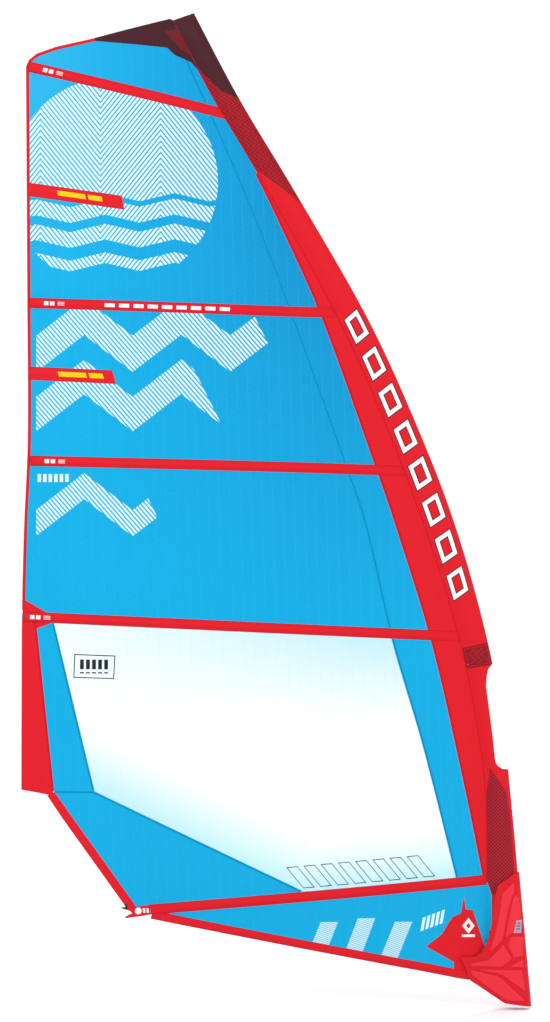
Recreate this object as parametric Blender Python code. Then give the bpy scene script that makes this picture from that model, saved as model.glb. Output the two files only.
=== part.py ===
"""Windsurf sail of about 6.5 square metres: freeride, no camber inducers, five full battens and two mini
battens. The sail stands up in the XZ plane with its belly towards -Y. +X points from the leech to the mast
and +Z up the mast. The origin is where the mast's axis meets the foot of the luff. Metres throughout.
"""

import math

import bmesh
import bpy
from mathutils import Vector

for leftover in list(bpy.data.objects):
    bpy.data.objects.remove(leftover, do_unlink=True)

# Driving dimensions
CLOTH = 0.0012  # thickness of every cloth solid
GAP = 0.0004  # clearance left between two pieces that are sewn edge to edge
GRID_X = 0.16  # spacing of the cuts that let a panel follow the belly
GRID_Z = 0.28
STATION = 0.28  # spacing of the stations along a curved seam

# Camber: depth of the belly at three heights, and the heights
BELLY_DEPTH = ((-0.1, 0.020), (1.6, 0.062), (3.0, 0.045), (4.4, 0.015))

# Seams that run up the sail, as (height, x)
LEADING_EDGE = ((0.0, 0.041), (0.60, -0.013), (1.02, -0.058), (1.52, -0.135), (2.10, -0.295),
                (2.62, -0.500), (3.01, -0.685), (3.53, -0.985), (3.93, -1.225), (4.30, -1.421))
SLEEVE_SEAM = ((0.20, -0.146), (0.55, -0.151), (0.92, -0.156), (1.20, -0.190), (1.60, -0.272),
               (2.10, -0.428), (2.60, -0.622), (3.02, -0.815), (3.62, -1.148), (3.90, -1.315),
               (4.03, -1.386), (4.27, -1.512))
BAND_SEAM = ((0.54, -0.160), (0.96, -0.246), (1.58, -0.389), (2.10, -0.549), (2.35, -0.635),
             (3.00, -0.870), (3.44, -1.069), (3.61, -1.152))
LUFF_PANEL_SEAM = ((0.52, -0.271), (1.14, -0.428), (1.58, -0.557), (2.10, -0.680), (2.35, -0.765),
                   (3.03, -1.010), (3.50, -1.192), (4.10, -1.455))
LEECH = ((0.90, -2.163), (1.30, -2.162), (1.70, -2.160), (2.07, -2.151), (2.45, -2.135),
         (3.05, -2.137), (4.10, -2.143))
FREE_EDGE = ((0.38, -1.720), (0.93, -2.163), (3.05, -2.137), (4.10, -2.143))
BOOM_CUTOUT = ((1.026, -0.082), (1.040, -0.104), (1.060, -0.117), (1.166, -0.128), (1.387, -0.157),
               (1.426, -0.155), (1.461, -0.148), (1.480, -0.131))

# Seams that run across the sail, as (x, height)
HEAD_EDGE = ((-2.143, 4.082), (-2.095, 4.119), (-2.015, 4.146), (-1.844, 4.183), (-1.500, 4.274))
HEAD_PATCH_EDGE = ((-2.143, 4.072), (-2.095, 4.108), (-2.015, 4.135), (-1.844, 4.172), (-1.680, 4.158),
                   (-1.532, 4.144), (-1.500, 4.113), (-1.428, 4.082), (-1.387, 4.031), (-1.300, 3.955))
BATTEN_LINES = (
    ((-2.143, 4.065), (-1.260, 3.852)),
    ((-2.143, 3.042), (-1.002, 3.002), (-0.780, 3.000)),
    ((-2.143, 2.360), (-1.002, 2.331), (-0.480, 2.314)),
    ((-2.163, 1.687), (-1.132, 1.642), (-0.230, 1.599)),
    ((-1.665, 0.417), (-0.130, 0.552)),
)
MINI_LINES = (((-2.137, 3.532), (-1.722, 3.471)), ((-2.135, 2.738), (-1.760, 2.719)))

LEECH_TAPE = 0.014
POCKET_HALF = 0.0222  # half the width of a batten pocket
POCKET_RISE = 0.0078  # half the height of its tunnel, outside
MINI_HALF = 0.029
BATTEN_RADIUS = 0.0045
FERRULE_RADIUS = 0.006

# Batten tensioner, measured from the leech end towards the luff
HOUSING_LENGTH = 0.050
HOUSING_HALF_Z = 0.013
HOUSING_HALF_Y = 0.0084
RECESS_DEPTH = 0.008
WALL_END = 0.012
TRAVEL = 0.008
SCREW_END = 0.038
FERRULE_START = WALL_END + TRAVEL + 0.0005
FERRULE_BORE = 0.028
FERRULE_BORE_RADIUS = 0.0039
RECESS_RADIUS = 0.0060
SCREW_HOLE_RADIUS = 0.0037
CHAMBER_RADIUS = 0.0069
HEXAGON_REACH = 0.0029
HEXAGON_DEPTH = 0.0055
SCREW_HEAD_START = 0.0015
SCREW_HEAD_RADIUS = 0.005
SHANK_RADIUS = 0.003
POCKET_STATION = 0.14
BATTEN_STATION = 0.10

# Sleeve: half thickness at the foot and at the head, and its section from nose to tail
SLEEVE_FOOT_HALF = 0.030
SLEEVE_HEAD_HALF = 0.022
SECTION = ((0.07, 0.62), (0.22, 0.94), (0.42, 1.0), (0.65, 0.74), (0.86, 0.30))

# Tack fairing: half thickness at a distance behind the leading edge
FAIRING = ((0.0, 0.0009), (0.005, 0.015), (0.02, 0.030), (0.05, 0.039), (0.10, 0.040), (0.16, 0.031),
           (0.22, 0.015), (0.32, 0.012))
FAIRING_PAD = 0.005

# Tack pulley
STRAP_X = -0.100
STRAP_WIDTH = 0.030
STRAP_HALF = 0.001
SWING_Z = 0.1465
AXLE_DROP = 0.035
AXLE_RADIUS = 0.004
SHEAVE_RADIUS = 0.011
SHEAVE_WIDTH = 0.0085

# Corners of the pieces around the clew and the tack, as (x, height)
CLEW_EYELET = (-1.657, 0.416)
WINDOW_CLEW = (-1.849, 0.929)
WINDOW_FOOT = (-0.953, 0.503)
DIAGONAL_TOP = (-2.019, 0.929)
DIAGONAL_MIDDLE = (-1.933, 0.808)
DIAGONAL_FOOT = -1.665
CLEW_TIPS = ((-1.712, 0.433), (-1.737, 0.429), (-1.694, 0.415), (-1.684, 0.404), (-1.699, 0.400),
             (-1.720, 0.383))
DIAGONAL_OUTSIDE = ((-2.051, 0.914), (-1.980, 0.808))
PETALS = ((-0.415, 0.264), (-0.346, 0.318), (-0.322, 0.361), (-0.299, 0.392), (-0.264, 0.407),
          (-0.252, 0.480), (-0.244, 0.424), (-0.213, 0.419), (-0.175, 0.310))
FOOT_EDGE = ((-1.655, 0.391), (-1.598, 0.381), (-0.400, 0.152), (-0.285, 0.128), (-0.222, 0.117))
FOOT_TAPE = 0.037
FAIRING_OUTLINE = ((-0.039, 0.579), (-0.069, 0.555), (-0.105, 0.531), (-0.117, 0.492), (-0.132, 0.376),
                   (-0.147, 0.291), (-0.178, 0.238), (-0.202, 0.221), (-0.268, 0.217), (-0.241, 0.159),
                   (-0.225, 0.117), (-0.078, 0.022))
BATTEN_STARTS = (-2.1235, -2.121, -2.118, -2.158, -1.600)
BAND_TOP = 3.600
SLEEVE_FOOT = 0.330
CUTOUT_LOW = 1.0255
CUTOUT_HIGH = 1.4805
TACK_FRONT = -0.070
CUP_BACK = 0.048
CUP = ((0.0135, 0.0), (0.0135, -0.060), (0.0175, -0.060), (0.0175, 0.0), (0.012, 0.010))
ROUND_SIDES = 16
EYELET_BORE = 0.0095
EYELET_FLANGE = 0.0150

COLOURS = {
    "blue_film": ((0.0, 0.43, 0.78), 0.35, 0.0),
    "clear_film": ((0.86, 0.95, 0.98), 0.15, 0.0),
    "red_cloth": ((0.80, 0.02, 0.03), 0.6, 0.0),
    "maroon_cloth": ((0.12, 0.02, 0.03), 0.7, 0.0),
    "fibre": ((0.05, 0.05, 0.05), 0.4, 0.0),
    "plastic": ((0.03, 0.03, 0.03), 0.5, 0.0),
    "steel": ((0.75, 0.75, 0.75), 0.25, 1.0),
    "webbing": ((0.10, 0.10, 0.11), 0.8, 0.0),
}


class Seam:
    """A smooth line through a few points, held as straight runs between stations so that both of its
    neighbours follow exactly the same runs."""

    def __init__(self, points, spacing=STATION, smooth=True):
        self.points = list(points)
        if smooth:
            self.points = self.stations(points, spacing)

    def stations(self, points, spacing):
        slopes = []
        for index in range(len(points)):
            before = points[max(index - 1, 0)]
            after = points[min(index + 1, len(points) - 1)]
            slopes.append((after[1] - before[1]) / (after[0] - before[0]))
        found = []
        for index in range(len(points) - 1):
            (start, low), (end, high) = points[index], points[index + 1]
            count = max(1, round((end - start) / spacing))
            for step in range(count):
                t = step / count
                length = end - start
                value = ((2 * t**3 - 3 * t**2 + 1) * low + (t**3 - 2 * t**2 + t) * length * slopes[index]
                         + (3 * t**2 - 2 * t**3) * high + (t**3 - t**2) * length * slopes[index + 1])
                found.append((start + t * length, value))
        found.append(points[-1])
        return found

    def at(self, along):
        points = self.points
        index = 0
        while index < len(points) - 2 and along > points[index + 1][0]:
            index += 1
        (start, low), (end, high) = points[index], points[index + 1]
        return low + (high - low) * (along - start) / (end - start)

    def shifted(self, offset):
        """The same line moved sideways by an offset."""
        return Seam([(along, value + offset) for along, value in self.points], smooth=False)

    def between(self, start, end):
        """The stations strictly inside a stretch, in order from start to end."""
        low, high = min(start, end) + 0.004, max(start, end) - 0.004
        found = [point for point in self.points if low < point[0] < high]
        return found if start < end else found[::-1]


leading_edge = Seam(LEADING_EDGE)
FAIRING_NOSE = Seam(((0.0, 0.041), (0.60, -0.013)), smooth=False)
LOWER_NOSE = Seam(((0.30, -0.004), (0.60, -0.020), (1.03, -0.060)), smooth=False)
sleeve_seam = Seam(SLEEVE_SEAM)
band_seam = Seam(BAND_SEAM)
luff_panel_seam = Seam(LUFF_PANEL_SEAM)
leech = Seam(LEECH, 0.5)
free_edge = Seam(FREE_EDGE, smooth=False)
head_edge = Seam(HEAD_EDGE, smooth=False)
head_patch_edge = Seam(HEAD_PATCH_EDGE, smooth=False)
batten_lines = [Seam(points, 0.22) for points in BATTEN_LINES]
belly_depth = Seam(BELLY_DEPTH, 0.3)


def belly(x, z):
    """How far the cloth bellies out, as y."""
    front, back = sleeve_seam.at(z), free_edge.at(max(z, FREE_EDGE[0][0]))
    share = min(max((front - x) / (front - back), 0.0), 1.0)
    return -belly_depth.at(z) * 4 * share * (1 - share) * (1.3 - 0.6 * share)


def meeting(upright, across):
    """The point where a seam that runs up the sail crosses one that runs across it."""
    z = across.points[0][1]
    for _ in range(40):
        z = across.at(upright.at(z))
    return upright.at(z), z


def outline_between(left, right, low, high, notch=()):
    """The outline inside four seams. The notch is a list of points cut in from the left side, top first."""
    left, right = left.shifted(GAP / 2), right.shifted(-GAP / 2)
    low, high = low.shifted(GAP / 2), high.shifted(-GAP / 2)
    corners = [meeting(left, low), meeting(right, low), meeting(right, high), meeting(left, high)]
    points = [corners[0], *low.between(corners[0][0], corners[1][0]), corners[1]]
    points += [(x, z) for z, x in right.between(corners[1][1], corners[2][1])]
    points += [corners[2], *high.between(corners[2][0], corners[3][0]), corners[3]]
    stops = [corners[3][1], *[z for _, z in notch[:1]], *[z for _, z in notch[-1:]], corners[0][1]]
    points += [(x, z) for z, x in left.between(stops[0], stops[1])]
    points += notch
    if notch:
        points += [(x, z) for z, x in left.between(stops[2], stops[3])]
    return points


def inset(outline, distance):
    """A closed outline, given anticlockwise, moved inwards on every side."""
    points = [Vector(point) for point in outline]
    moved = []
    for index, point in enumerate(points):
        before = (point - points[index - 1]).normalized()
        after = (points[(index + 1) % len(points)] - point).normalized()
        inward = Vector((-before.y - after.y, before.x + after.x)).normalized()
        side = Vector((-after.y, after.x))
        moved.append(tuple(point + inward * distance / max(inward.dot(side), 0.35)))
    return moved


def material(name):
    colour, roughness, metallic = COLOURS[name]
    made = bpy.data.materials.new(name)
    made.use_nodes = True
    shader = made.node_tree.nodes["Principled BSDF"]
    shader.inputs["Base Color"].default_value = (*colour, 1.0)
    shader.inputs["Roughness"].default_value = roughness
    shader.inputs["Metallic"].default_value = metallic
    return made


def add(name, mesh, look):
    """Puts a bmesh into the scene as one named object."""
    bmesh.ops.recalc_face_normals(mesh, faces=mesh.faces[:])
    if mesh.calc_volume(signed=True) < 0:
        bmesh.ops.reverse_faces(mesh, faces=mesh.faces[:])
    data = bpy.data.meshes.new(name)
    mesh.to_mesh(data)
    mesh.free()
    thing = bpy.data.objects.new(name, data)
    thing.data.materials.append(material(look))
    bpy.context.collection.objects.link(thing)
    return thing


def cut_on_grid(mesh, spacings):
    for axis, spacing in spacings:
        values = [vert.co[axis] for vert in mesh.verts]
        normal = Vector((0, 0, 0))
        normal[axis] = 1
        for step in range(math.ceil(min(values) / spacing), math.floor(max(values) / spacing) + 1):
            parts = mesh.verts[:] + mesh.edges[:] + mesh.faces[:]
            bmesh.ops.bisect_plane(mesh, geom=parts, dist=1e-5, plane_co=normal * step * spacing,
                                   plane_no=normal)


def plate(name, outline, look, front=None, back=None, hole=None, lines=()):
    """A thin solid over an outline in XZ. Its two faces lie at the heights that front and back give."""
    front = front or (lambda x, z: belly(x, z) - CLOTH / 2)
    back = back or (lambda x, z: belly(x, z) + CLOTH / 2)
    flat = bmesh.new()
    rings = [outline] + ([hole] if hole else [])
    edges = []
    for ring in rings:
        verts = [flat.verts.new((x, 0, z)) for x, z in ring]
        edges += [flat.edges.new((verts[i - 1], verts[i])) for i in range(len(verts))]
    if hole:
        bmesh.ops.triangle_fill(flat, edges=edges, use_beauty=True)
    else:
        flat.faces.new(verts)
    for point, normal in lines:
        parts = flat.verts[:] + flat.edges[:] + flat.faces[:]
        bmesh.ops.bisect_plane(flat, geom=parts, dist=1e-5, plane_co=point, plane_no=normal)
    cut_on_grid(flat, ((0, GRID_X), (2, GRID_Z)))
    bmesh.ops.triangulate(flat, faces=flat.faces[:])
    solid = bmesh.new()
    flat.verts.index_update()
    near = [solid.verts.new((v.co.x, front(v.co.x, v.co.z), v.co.z)) for v in flat.verts]
    far = [solid.verts.new((v.co.x, back(v.co.x, v.co.z), v.co.z)) for v in flat.verts]
    for face in flat.faces:
        ids = [vert.index for vert in face.verts]
        solid.faces.new([near[i] for i in ids])
        solid.faces.new([far[i] for i in reversed(ids)])
    for edge in flat.edges:
        if edge.is_boundary:
            a, b = [vert.index for vert in edge.verts]
            solid.faces.new((near[a], near[b], far[b], far[a]))
    flat.free()
    return add(name, solid, look)


def loft(name, rings, look, closed=False):
    """Skins a row of rings with equal counts of points. A closed row joins its last ring to its first."""
    solid = bmesh.new()
    rows = [[solid.verts.new(point) for point in ring] for ring in rings]
    pairs = list(zip(rows, rows[1:])) + ([(rows[-1], rows[0])] if closed else [])
    for one, other in pairs:
        for i in range(len(one)):
            solid.faces.new((one[i - 1], one[i], other[i], other[i - 1]))
    if not closed:
        solid.faces.new(rows[0])
        solid.faces.new(rows[-1])
    bmesh.ops.triangulate(solid, faces=solid.faces[:])
    return add(name, solid, look)


def circle(radius, sides, turn=0.5):
    angles = [math.tau * (i + turn) / sides for i in range(sides)]
    return [(radius * math.cos(angle), radius * math.sin(angle)) for angle in angles]


def along_batten(seam, x, section):
    """Places a section, as (up, out) pairs, across a batten line at x."""
    before, after = seam.at(x - 0.02), seam.at(x + 0.02)
    run = Vector((0.04, 0, after - before)).normalized()
    up = Vector((-run.z, 0, run.x))
    centre = Vector((x, belly(x, seam.at(x)), seam.at(x)))
    return [centre + up * high + Vector((0, out, 0)) for high, out in section]


def at_leech_end(seam, start, distance, section):
    """The same, at a distance from the leech end along the line's own straight direction."""
    base = Vector((start, belly(start, seam.at(start)), seam.at(start)))
    far = start + HOUSING_LENGTH
    run = (Vector((far, belly(far, seam.at(far)), seam.at(far))) - base).normalized()
    up = Vector((-run.z, 0, run.x)).normalized()
    out = up.cross(run) * -1
    return [base + run * distance + up * high + out * wide for high, wide in section]


def spaced(start, end, spacing):
    count = max(1, round(abs(end - start) / spacing))
    return [start + (end - start) * i / count for i in range(count + 1)]


# Sections across a batten line, as (up, out)
POCKET_OUTSIDE = ((POCKET_HALF, -0.0006), (0.0055, -POCKET_RISE), (-0.0055, -POCKET_RISE),
                  (-POCKET_HALF, -0.0006), (-POCKET_HALF, 0.0006), (-0.0055, POCKET_RISE),
                  (0.0055, POCKET_RISE), (POCKET_HALF, 0.0006))
POCKET_INSIDE = ((0.0098, -0.0004), (0.0050, -0.0067), (-0.0050, -0.0067), (-0.0098, -0.0004),
                 (-0.0098, 0.0004), (-0.0050, 0.0067), (0.0050, 0.0067), (0.0098, 0.0004))
HOUSING_OUTSIDE = ((0.010, -HOUSING_HALF_Y), (-0.010, -HOUSING_HALF_Y), (-HOUSING_HALF_Z, -0.005),
                   (-HOUSING_HALF_Z, 0.005), (-0.010, HOUSING_HALF_Y), (0.010, HOUSING_HALF_Y),
                   (HOUSING_HALF_Z, 0.005), (HOUSING_HALF_Z, -0.005))


def batten_set(number, seam, start, luff_end):
    """One full batten: its pocket, the batten with its ferrule, the tensioner's housing and screw."""
    pocket_start = start + HOUSING_LENGTH + 0.0015
    stations = spaced(pocket_start, luff_end, POCKET_STATION)
    outside = [along_batten(seam, x, POCKET_OUTSIDE) for x in stations]
    inside = [along_batten(seam, x, POCKET_INSIDE) for x in stations]
    loft(f"batten_pocket_{number}", outside + inside[::-1], "red_cloth", closed=True)

    end = at_leech_end
    bore = circle(FERRULE_BORE_RADIUS, 6)
    ferrule = circle(FERRULE_RADIUS, 6)
    rod = circle(BATTEN_RADIUS, 6)
    mouth = FERRULE_START
    rings = [end(seam, start, mouth + FERRULE_BORE, bore), end(seam, start, mouth, bore),
             end(seam, start, mouth, ferrule), end(seam, start, HOUSING_LENGTH - 0.004, ferrule),
             end(seam, start, HOUSING_LENGTH, rod)]
    stations = spaced(pocket_start + 0.020, luff_end - 0.018, BATTEN_STATION)
    rings += [along_batten(seam, x, rod) for x in stations]
    loft(f"batten_{number}", rings, "fibre")

    hollow = [(0.0, RECESS_RADIUS), (RECESS_DEPTH, RECESS_RADIUS), (RECESS_DEPTH, SCREW_HOLE_RADIUS),
              (WALL_END, SCREW_HOLE_RADIUS), (WALL_END, CHAMBER_RADIUS), (HOUSING_LENGTH, CHAMBER_RADIUS)]
    rings = [end(seam, start, distance, HOUSING_OUTSIDE) for distance in (0.0, HOUSING_LENGTH)]
    rings += [end(seam, start, distance, housing_bore(radius)) for distance, radius in hollow[::-1]]
    loft(f"tensioner_housing_{number}", rings, "plastic", closed=True)

    hexagon = []
    for i in range(12):
        reach = HEXAGON_REACH * (1 if i % 2 == 0 else math.cos(math.pi / 6))
        hexagon.append((reach * math.cos(math.tau * i / 12), reach * math.sin(math.tau * i / 12)))
    head = circle(SCREW_HEAD_RADIUS, 12, 0)
    shank = circle(SHANK_RADIUS, 12, 0)
    head_end = RECESS_DEPTH - 0.0005
    rings = [end(seam, start, HEXAGON_DEPTH, hexagon), end(seam, start, SCREW_HEAD_START, hexagon),
             end(seam, start, SCREW_HEAD_START, head), end(seam, start, head_end, head),
             end(seam, start, head_end, shank), end(seam, start, SCREW_END, shank)]
    loft(f"tensioner_screw_{number}", rings, "steel")


def housing_bore(radius):
    """An eight-sided ring whose corners follow the housing's outside corners in order."""
    angles = [math.radians(-67.5 - 45 * i) for i in range(8)]
    return [(radius * math.cos(angle), radius * math.sin(angle)) for angle in angles]


def mini_batten(name, points):
    """A short flat batten in a pocket that is open at the leech and closed at its luff end."""
    seam = Seam(points, smooth=False)
    lean = abs(points[1][1] - points[0][1]) / (points[1][0] - points[0][0])
    start = points[0][0] + LEECH_TAPE + MINI_HALF * lean + 0.002
    end = points[1][0]
    closed_end = end - 0.012
    outside = ((MINI_HALF, -0.0006), (0.012, -0.0032), (-0.012, -0.0032), (-MINI_HALF, -0.0006),
               (-MINI_HALF, 0.0006), (-0.012, 0.0032), (0.012, 0.0032), (MINI_HALF, 0.0006))
    inside = [(high * 0.92, math.copysign(max(abs(wide) - 0.0008, 0.0002), wide)) for high, wide in outside]
    rings = [along_batten(seam, x, outside) for x in spaced(end, start, POCKET_STATION)]
    rings += [along_batten(seam, x, inside) for x in spaced(start, closed_end, POCKET_STATION)]
    loft(f"{name}_pocket", rings, "red_cloth")
    strip = ((0.009, -0.0014), (-0.009, -0.0014), (-0.009, 0.0014), (0.009, 0.0014))
    stations = spaced(start + 0.003, closed_end - 0.006, POCKET_STATION)
    loft(name, [along_batten(seam, x, strip) for x in stations], "fibre")


def mini_notch(points):
    """The notch that a mini batten's pocket leaves in the left side of its panel, top first."""
    (x0, z0), (x1, z1) = points
    run = Vector((x1 - x0, z1 - z0)).normalized()
    up = Vector((-run.y, run.x))
    tip, reach = Vector((x1, z1)) + run * GAP, MINI_HALF + GAP
    edge = x0 + LEECH_TAPE + GAP / 2
    corners = []
    for side in (1, -1):
        inner = tip + up * reach * side
        corners.append((inner + run * ((edge - inner.x) / run.x), inner))
    return [tuple(corners[0][0]), tuple(corners[0][1]), tuple(corners[1][1]), tuple(corners[1][0])]


def section_ring(front, tail, half, wall=0.0):
    """The sleeve's section between a point on the leading edge and one on its seam, as a closed ring."""
    front, tail = Vector((front[0], 0, front[1])), Vector((tail[0], 0, tail[1]))
    chord = (tail - front).length
    across = (tail - front) / chord
    reach = chord - (0.010 if wall else 0.0)
    end_half = 0.0003 if wall else CLOTH / 2
    sides = [(share * chord, half * height - wall) for share, height in SECTION] + [(reach, end_half)]
    ring = [front + across * wall]
    ring += [front + across * distance + Vector((0, -wide, 0)) for distance, wide in sides]
    ring += [front + across * distance + Vector((0, wide, 0)) for distance, wide in sides[::-1]]
    return ring


def sleeve_half(z):
    share = min(max(z / 4.3, 0.0), 1.0)
    return SLEEVE_FOOT_HALF + (SLEEVE_HEAD_HALF - SLEEVE_FOOT_HALF) * share


def sleeve_tube(name, stations, look):
    """A length of mast sleeve, open at both ends. Each station is a leading-edge point and a seam point."""
    outside = [section_ring(front, tail, sleeve_half(front[1])) for front, tail in stations]
    inside = [section_ring(front, tail, sleeve_half(front[1]), CLOTH) for front, tail in stations]
    loft(name, outside + inside[::-1], look, closed=True)


def level(z):
    """A sleeve station at one height."""
    return (leading_edge.at(z), z), (sleeve_seam.at(z) + GAP / 2, z)


def heights(low, high):
    """The two heights and the sleeve seam's own stations between them."""
    return [low, *[z for z, _ in sleeve_seam.between(low, high)], high]


def channel_ring(z, edge):
    """The sleeve's section in the boom cut-out, where only its rear part is left, from edge to seam."""
    front, tail = leading_edge.at(z), sleeve_seam.at(z) + GAP / 2
    chord, half = front - tail, sleeve_half(z)
    shape = Seam([(0.0, 0.0), *SECTION, (1.0, 0.02)], smooth=False)
    first = (front - edge) / chord
    shares = [first + (1 - first) * i / 3 for i in range(4)]
    outer = [(front - share * chord, max(shape.at(share) * half, CLOTH / 2)) for share in shares]
    inner = [(x, max(wide - CLOTH, 0.0003)) for x, wide in outer[:3]] + [(tail + 0.010, 0.0003)]
    ring = [(x, -wide, z) for x, wide in outer] + [(x, wide, z) for x, wide in outer[::-1]]
    return ring + [(x, wide, z) for x, wide in inner] + [(x, -wide, z) for x, wide in inner[::-1]]


def fairing_half(x, z):
    return Seam(FAIRING, smooth=False).at(max(FAIRING_NOSE.at(z) - x, 0.0))


def box(name, low, high, look):
    solid = bmesh.new()
    bmesh.ops.create_cube(solid, size=1)
    for vert in solid.verts:
        for axis in range(3):
            vert.co[axis] = low[axis] if vert.co[axis] < 0 else high[axis]
    return add(name, solid, look)


def turned(name, profile, centre, axis, sides, look):
    """A ring turned about an axis. The profile is a closed outline of (radius, distance along the axis)."""
    axis = Vector(axis).normalized()
    side = axis.orthogonal().normalized()
    other = axis.cross(side)
    rings = []
    for radius, distance in profile:
        middle = Vector(centre) + axis * distance
        rings.append([middle + side * x + other * y for x, y in circle(radius, sides)])
    return loft(name, rings, look, closed=True)


def boolean(thing, operation, tool):
    """Cuts with, or joins, a helper that isn't itself part of the object."""
    step = thing.modifiers.new(operation.lower(), "BOOLEAN")
    step.operation = operation
    step.object = tool
    tool.hide_render = True
    tool.display_type = "WIRE"


def on_seam(seam, heights, offset=0.0):
    """Points of an upright seam at its own stations between two heights, ends included."""
    start, end = heights
    inside = seam.between(start, end)
    return [(x + offset, z) for z, x in [(start, seam.at(start)), *inside, (end, seam.at(end))]]


def on_line(seam, ends, offset=0.0):
    """Points of a cross seam at its own stations between two x values, ends included."""
    start, end = ends
    inside = seam.between(start, end)
    return [(x, z + offset) for x, z in [(start, seam.at(start)), *inside, (end, seam.at(end))]]


# The five batten sets. Each pocket runs from the leech to the sleeve's seam.
for number, (seam, start) in enumerate(zip(batten_lines, BATTEN_STARTS), 1):
    x, z = meeting(sleeve_seam, seam)
    lean = abs(sleeve_seam.at(z + 0.05) - sleeve_seam.at(z - 0.05)) / 0.1
    batten_set(number, seam, start, x - POCKET_HALF * lean * 1.3 - 0.003)
mini_batten("mini_batten_upper", MINI_LINES[0])
mini_batten("mini_batten_lower", MINI_LINES[1])

EDGE = POCKET_HALF * 1.04 + GAP / 2
above = [seam.shifted(EDGE) for seam in batten_lines]
below = [seam.shifted(-EDGE) for seam in batten_lines]

# Panels from the head down, behind and in front of the thin luff panel seam
tape_side = leech.shifted(LEECH_TAPE)
rows = (("head", above[0], head_patch_edge, None), ("upper", above[1], below[0], MINI_LINES[0]),
        ("middle", above[2], below[1], MINI_LINES[1]), ("lower", above[3], below[2], None))
for name, low, high, mini in rows:
    notch = mini_notch(mini) if mini else ()
    plate(f"{name}_panel", outline_between(tape_side, luff_panel_seam, low, high, notch), "blue_film")
    in_front = sleeve_seam if name in ("head", "upper") else band_seam
    if name != "upper":
        plate(f"{name}_luff_panel", outline_between(luff_panel_seam, in_front, low, high), "blue_film")

# In the upper row the luff band is a wedge that starts at a point on the sleeve's seam
low, high = above[1].shifted(GAP / 2), below[0].shifted(-GAP / 2)
back_low = meeting(luff_panel_seam.shifted(GAP / 2), low)
band_low = meeting(band_seam.shifted(-GAP / 2), low)
front_low = meeting(sleeve_seam.shifted(-GAP / 2), low)
front_high = meeting(sleeve_seam.shifted(-GAP / 2), high)
back_high = meeting(luff_panel_seam.shifted(GAP / 2), high)
outline = on_line(low, (back_low[0], band_low[0]))
outline += on_seam(band_seam, (band_low[1], BAND_TOP), -GAP / 2)[1:]
outline += on_seam(sleeve_seam, (BAND_TOP + 0.01, front_high[1]), -GAP / 2)
outline += on_line(high, (front_high[0], back_high[0]))[1:]
outline += on_seam(luff_panel_seam, (back_high[1], back_low[1]), GAP / 2)[1:-1]
plate("upper_luff_panel", outline, "blue_film")
outline = [*on_line(low, (band_low[0] + GAP, front_low[0]))]
outline += on_seam(sleeve_seam, (front_low[1], BAND_TOP - 0.02), -GAP / 2)[1:]
outline += on_seam(band_seam, (BAND_TOP - 0.02, band_low[1]), GAP / 2)[:-1]
plate("luff_band_upper", outline, "red_cloth")
for name, low, high in (("middle", 2, 1), ("lower", 3, 2), ("boom", 4, 3)):
    outline = outline_between(band_seam, sleeve_seam, above[low], below[high])
    plate(f"luff_band_{name}", outline, "red_cloth")

# Below the boom: the window, its luff strip, the leech strip, the clew panel and the red leech panel
strip_back = Seam(((0.90, -2.022), (1.70, -2.107)), smooth=False)
strip_front = Seam(((0.90, -1.842), (1.70, -2.036)), smooth=False)
clew_top = Seam(((-2.30, 0.931), (-1.80, 0.931)), smooth=False)
plate("window_luff_panel", outline_between(luff_panel_seam, band_seam, above[4], below[3]), "blue_film")
plate("leech_strip", outline_between(strip_back, strip_front, clew_top, below[3]), "blue_film")
plate("lower_leech_panel", outline_between(leech, strip_back, clew_top, below[3]), "red_cloth")
window_top = below[3].shifted(-GAP / 2)
top_left, top_right = meeting(strip_front, window_top), meeting(luff_panel_seam, window_top)
foot_front = meeting(luff_panel_seam, above[4].shifted(GAP / 2))
outline = [WINDOW_CLEW, WINDOW_FOOT, *on_line(above[4], (WINDOW_FOOT[0] + 0.02, foot_front[0]), GAP / 2)]
outline += on_seam(luff_panel_seam, (foot_front[1], top_right[1]))[1:]
outline += on_line(window_top, (top_right[0], top_left[0]))[1:]
plate("window", inset(outline, GAP / 2), "clear_film")
pocket_side = on_line(above[4], (DIAGONAL_FOOT, WINDOW_FOOT[0]))
outline = [DIAGONAL_MIDDLE, *pocket_side, WINDOW_FOOT, WINDOW_CLEW, DIAGONAL_TOP]
plate("clew_panel", inset(outline, GAP), "blue_film")

# Clew patch with the diagonal tape above it, and the pressed eyelet through it
clew_y = belly(*CLEW_EYELET)
pocket_start = BATTEN_STARTS[4]
corner_low = below[4].at(pocket_start)
patch_end = pocket_start - 0.003
outline = [*CLEW_TIPS, FOOT_EDGE[0], (patch_end, corner_low), (patch_end, above[4].at(patch_end))]
outline += [pocket_side[0], DIAGONAL_MIDDLE, DIAGONAL_TOP, *DIAGONAL_OUTSIDE]
hole_ring = circle(EYELET_FLANGE - 0.0026, ROUND_SIDES)
eyelet_hole = [(CLEW_EYELET[0] + x, CLEW_EYELET[1] + z) for x, z in hole_ring]
plate("clew_patch", inset(outline, GAP), "red_cloth", hole=eyelet_hole)
barrel, flange, half = EYELET_FLANGE - 0.0032, EYELET_FLANGE, CLOTH / 2
profile = ((EYELET_BORE, -half - 0.0022), (flange, -half - 0.0022), (flange, -half - 0.0012),
           (barrel, -half - 0.0012), (barrel, half + 0.0012), (flange, half + 0.0012),
           (flange, half + 0.0022), (EYELET_BORE, half + 0.0022))
turned("clew_eyelet", profile, (CLEW_EYELET[0], clew_y, CLEW_EYELET[1]), (0, 1, 0), ROUND_SIDES, "steel")

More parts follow.
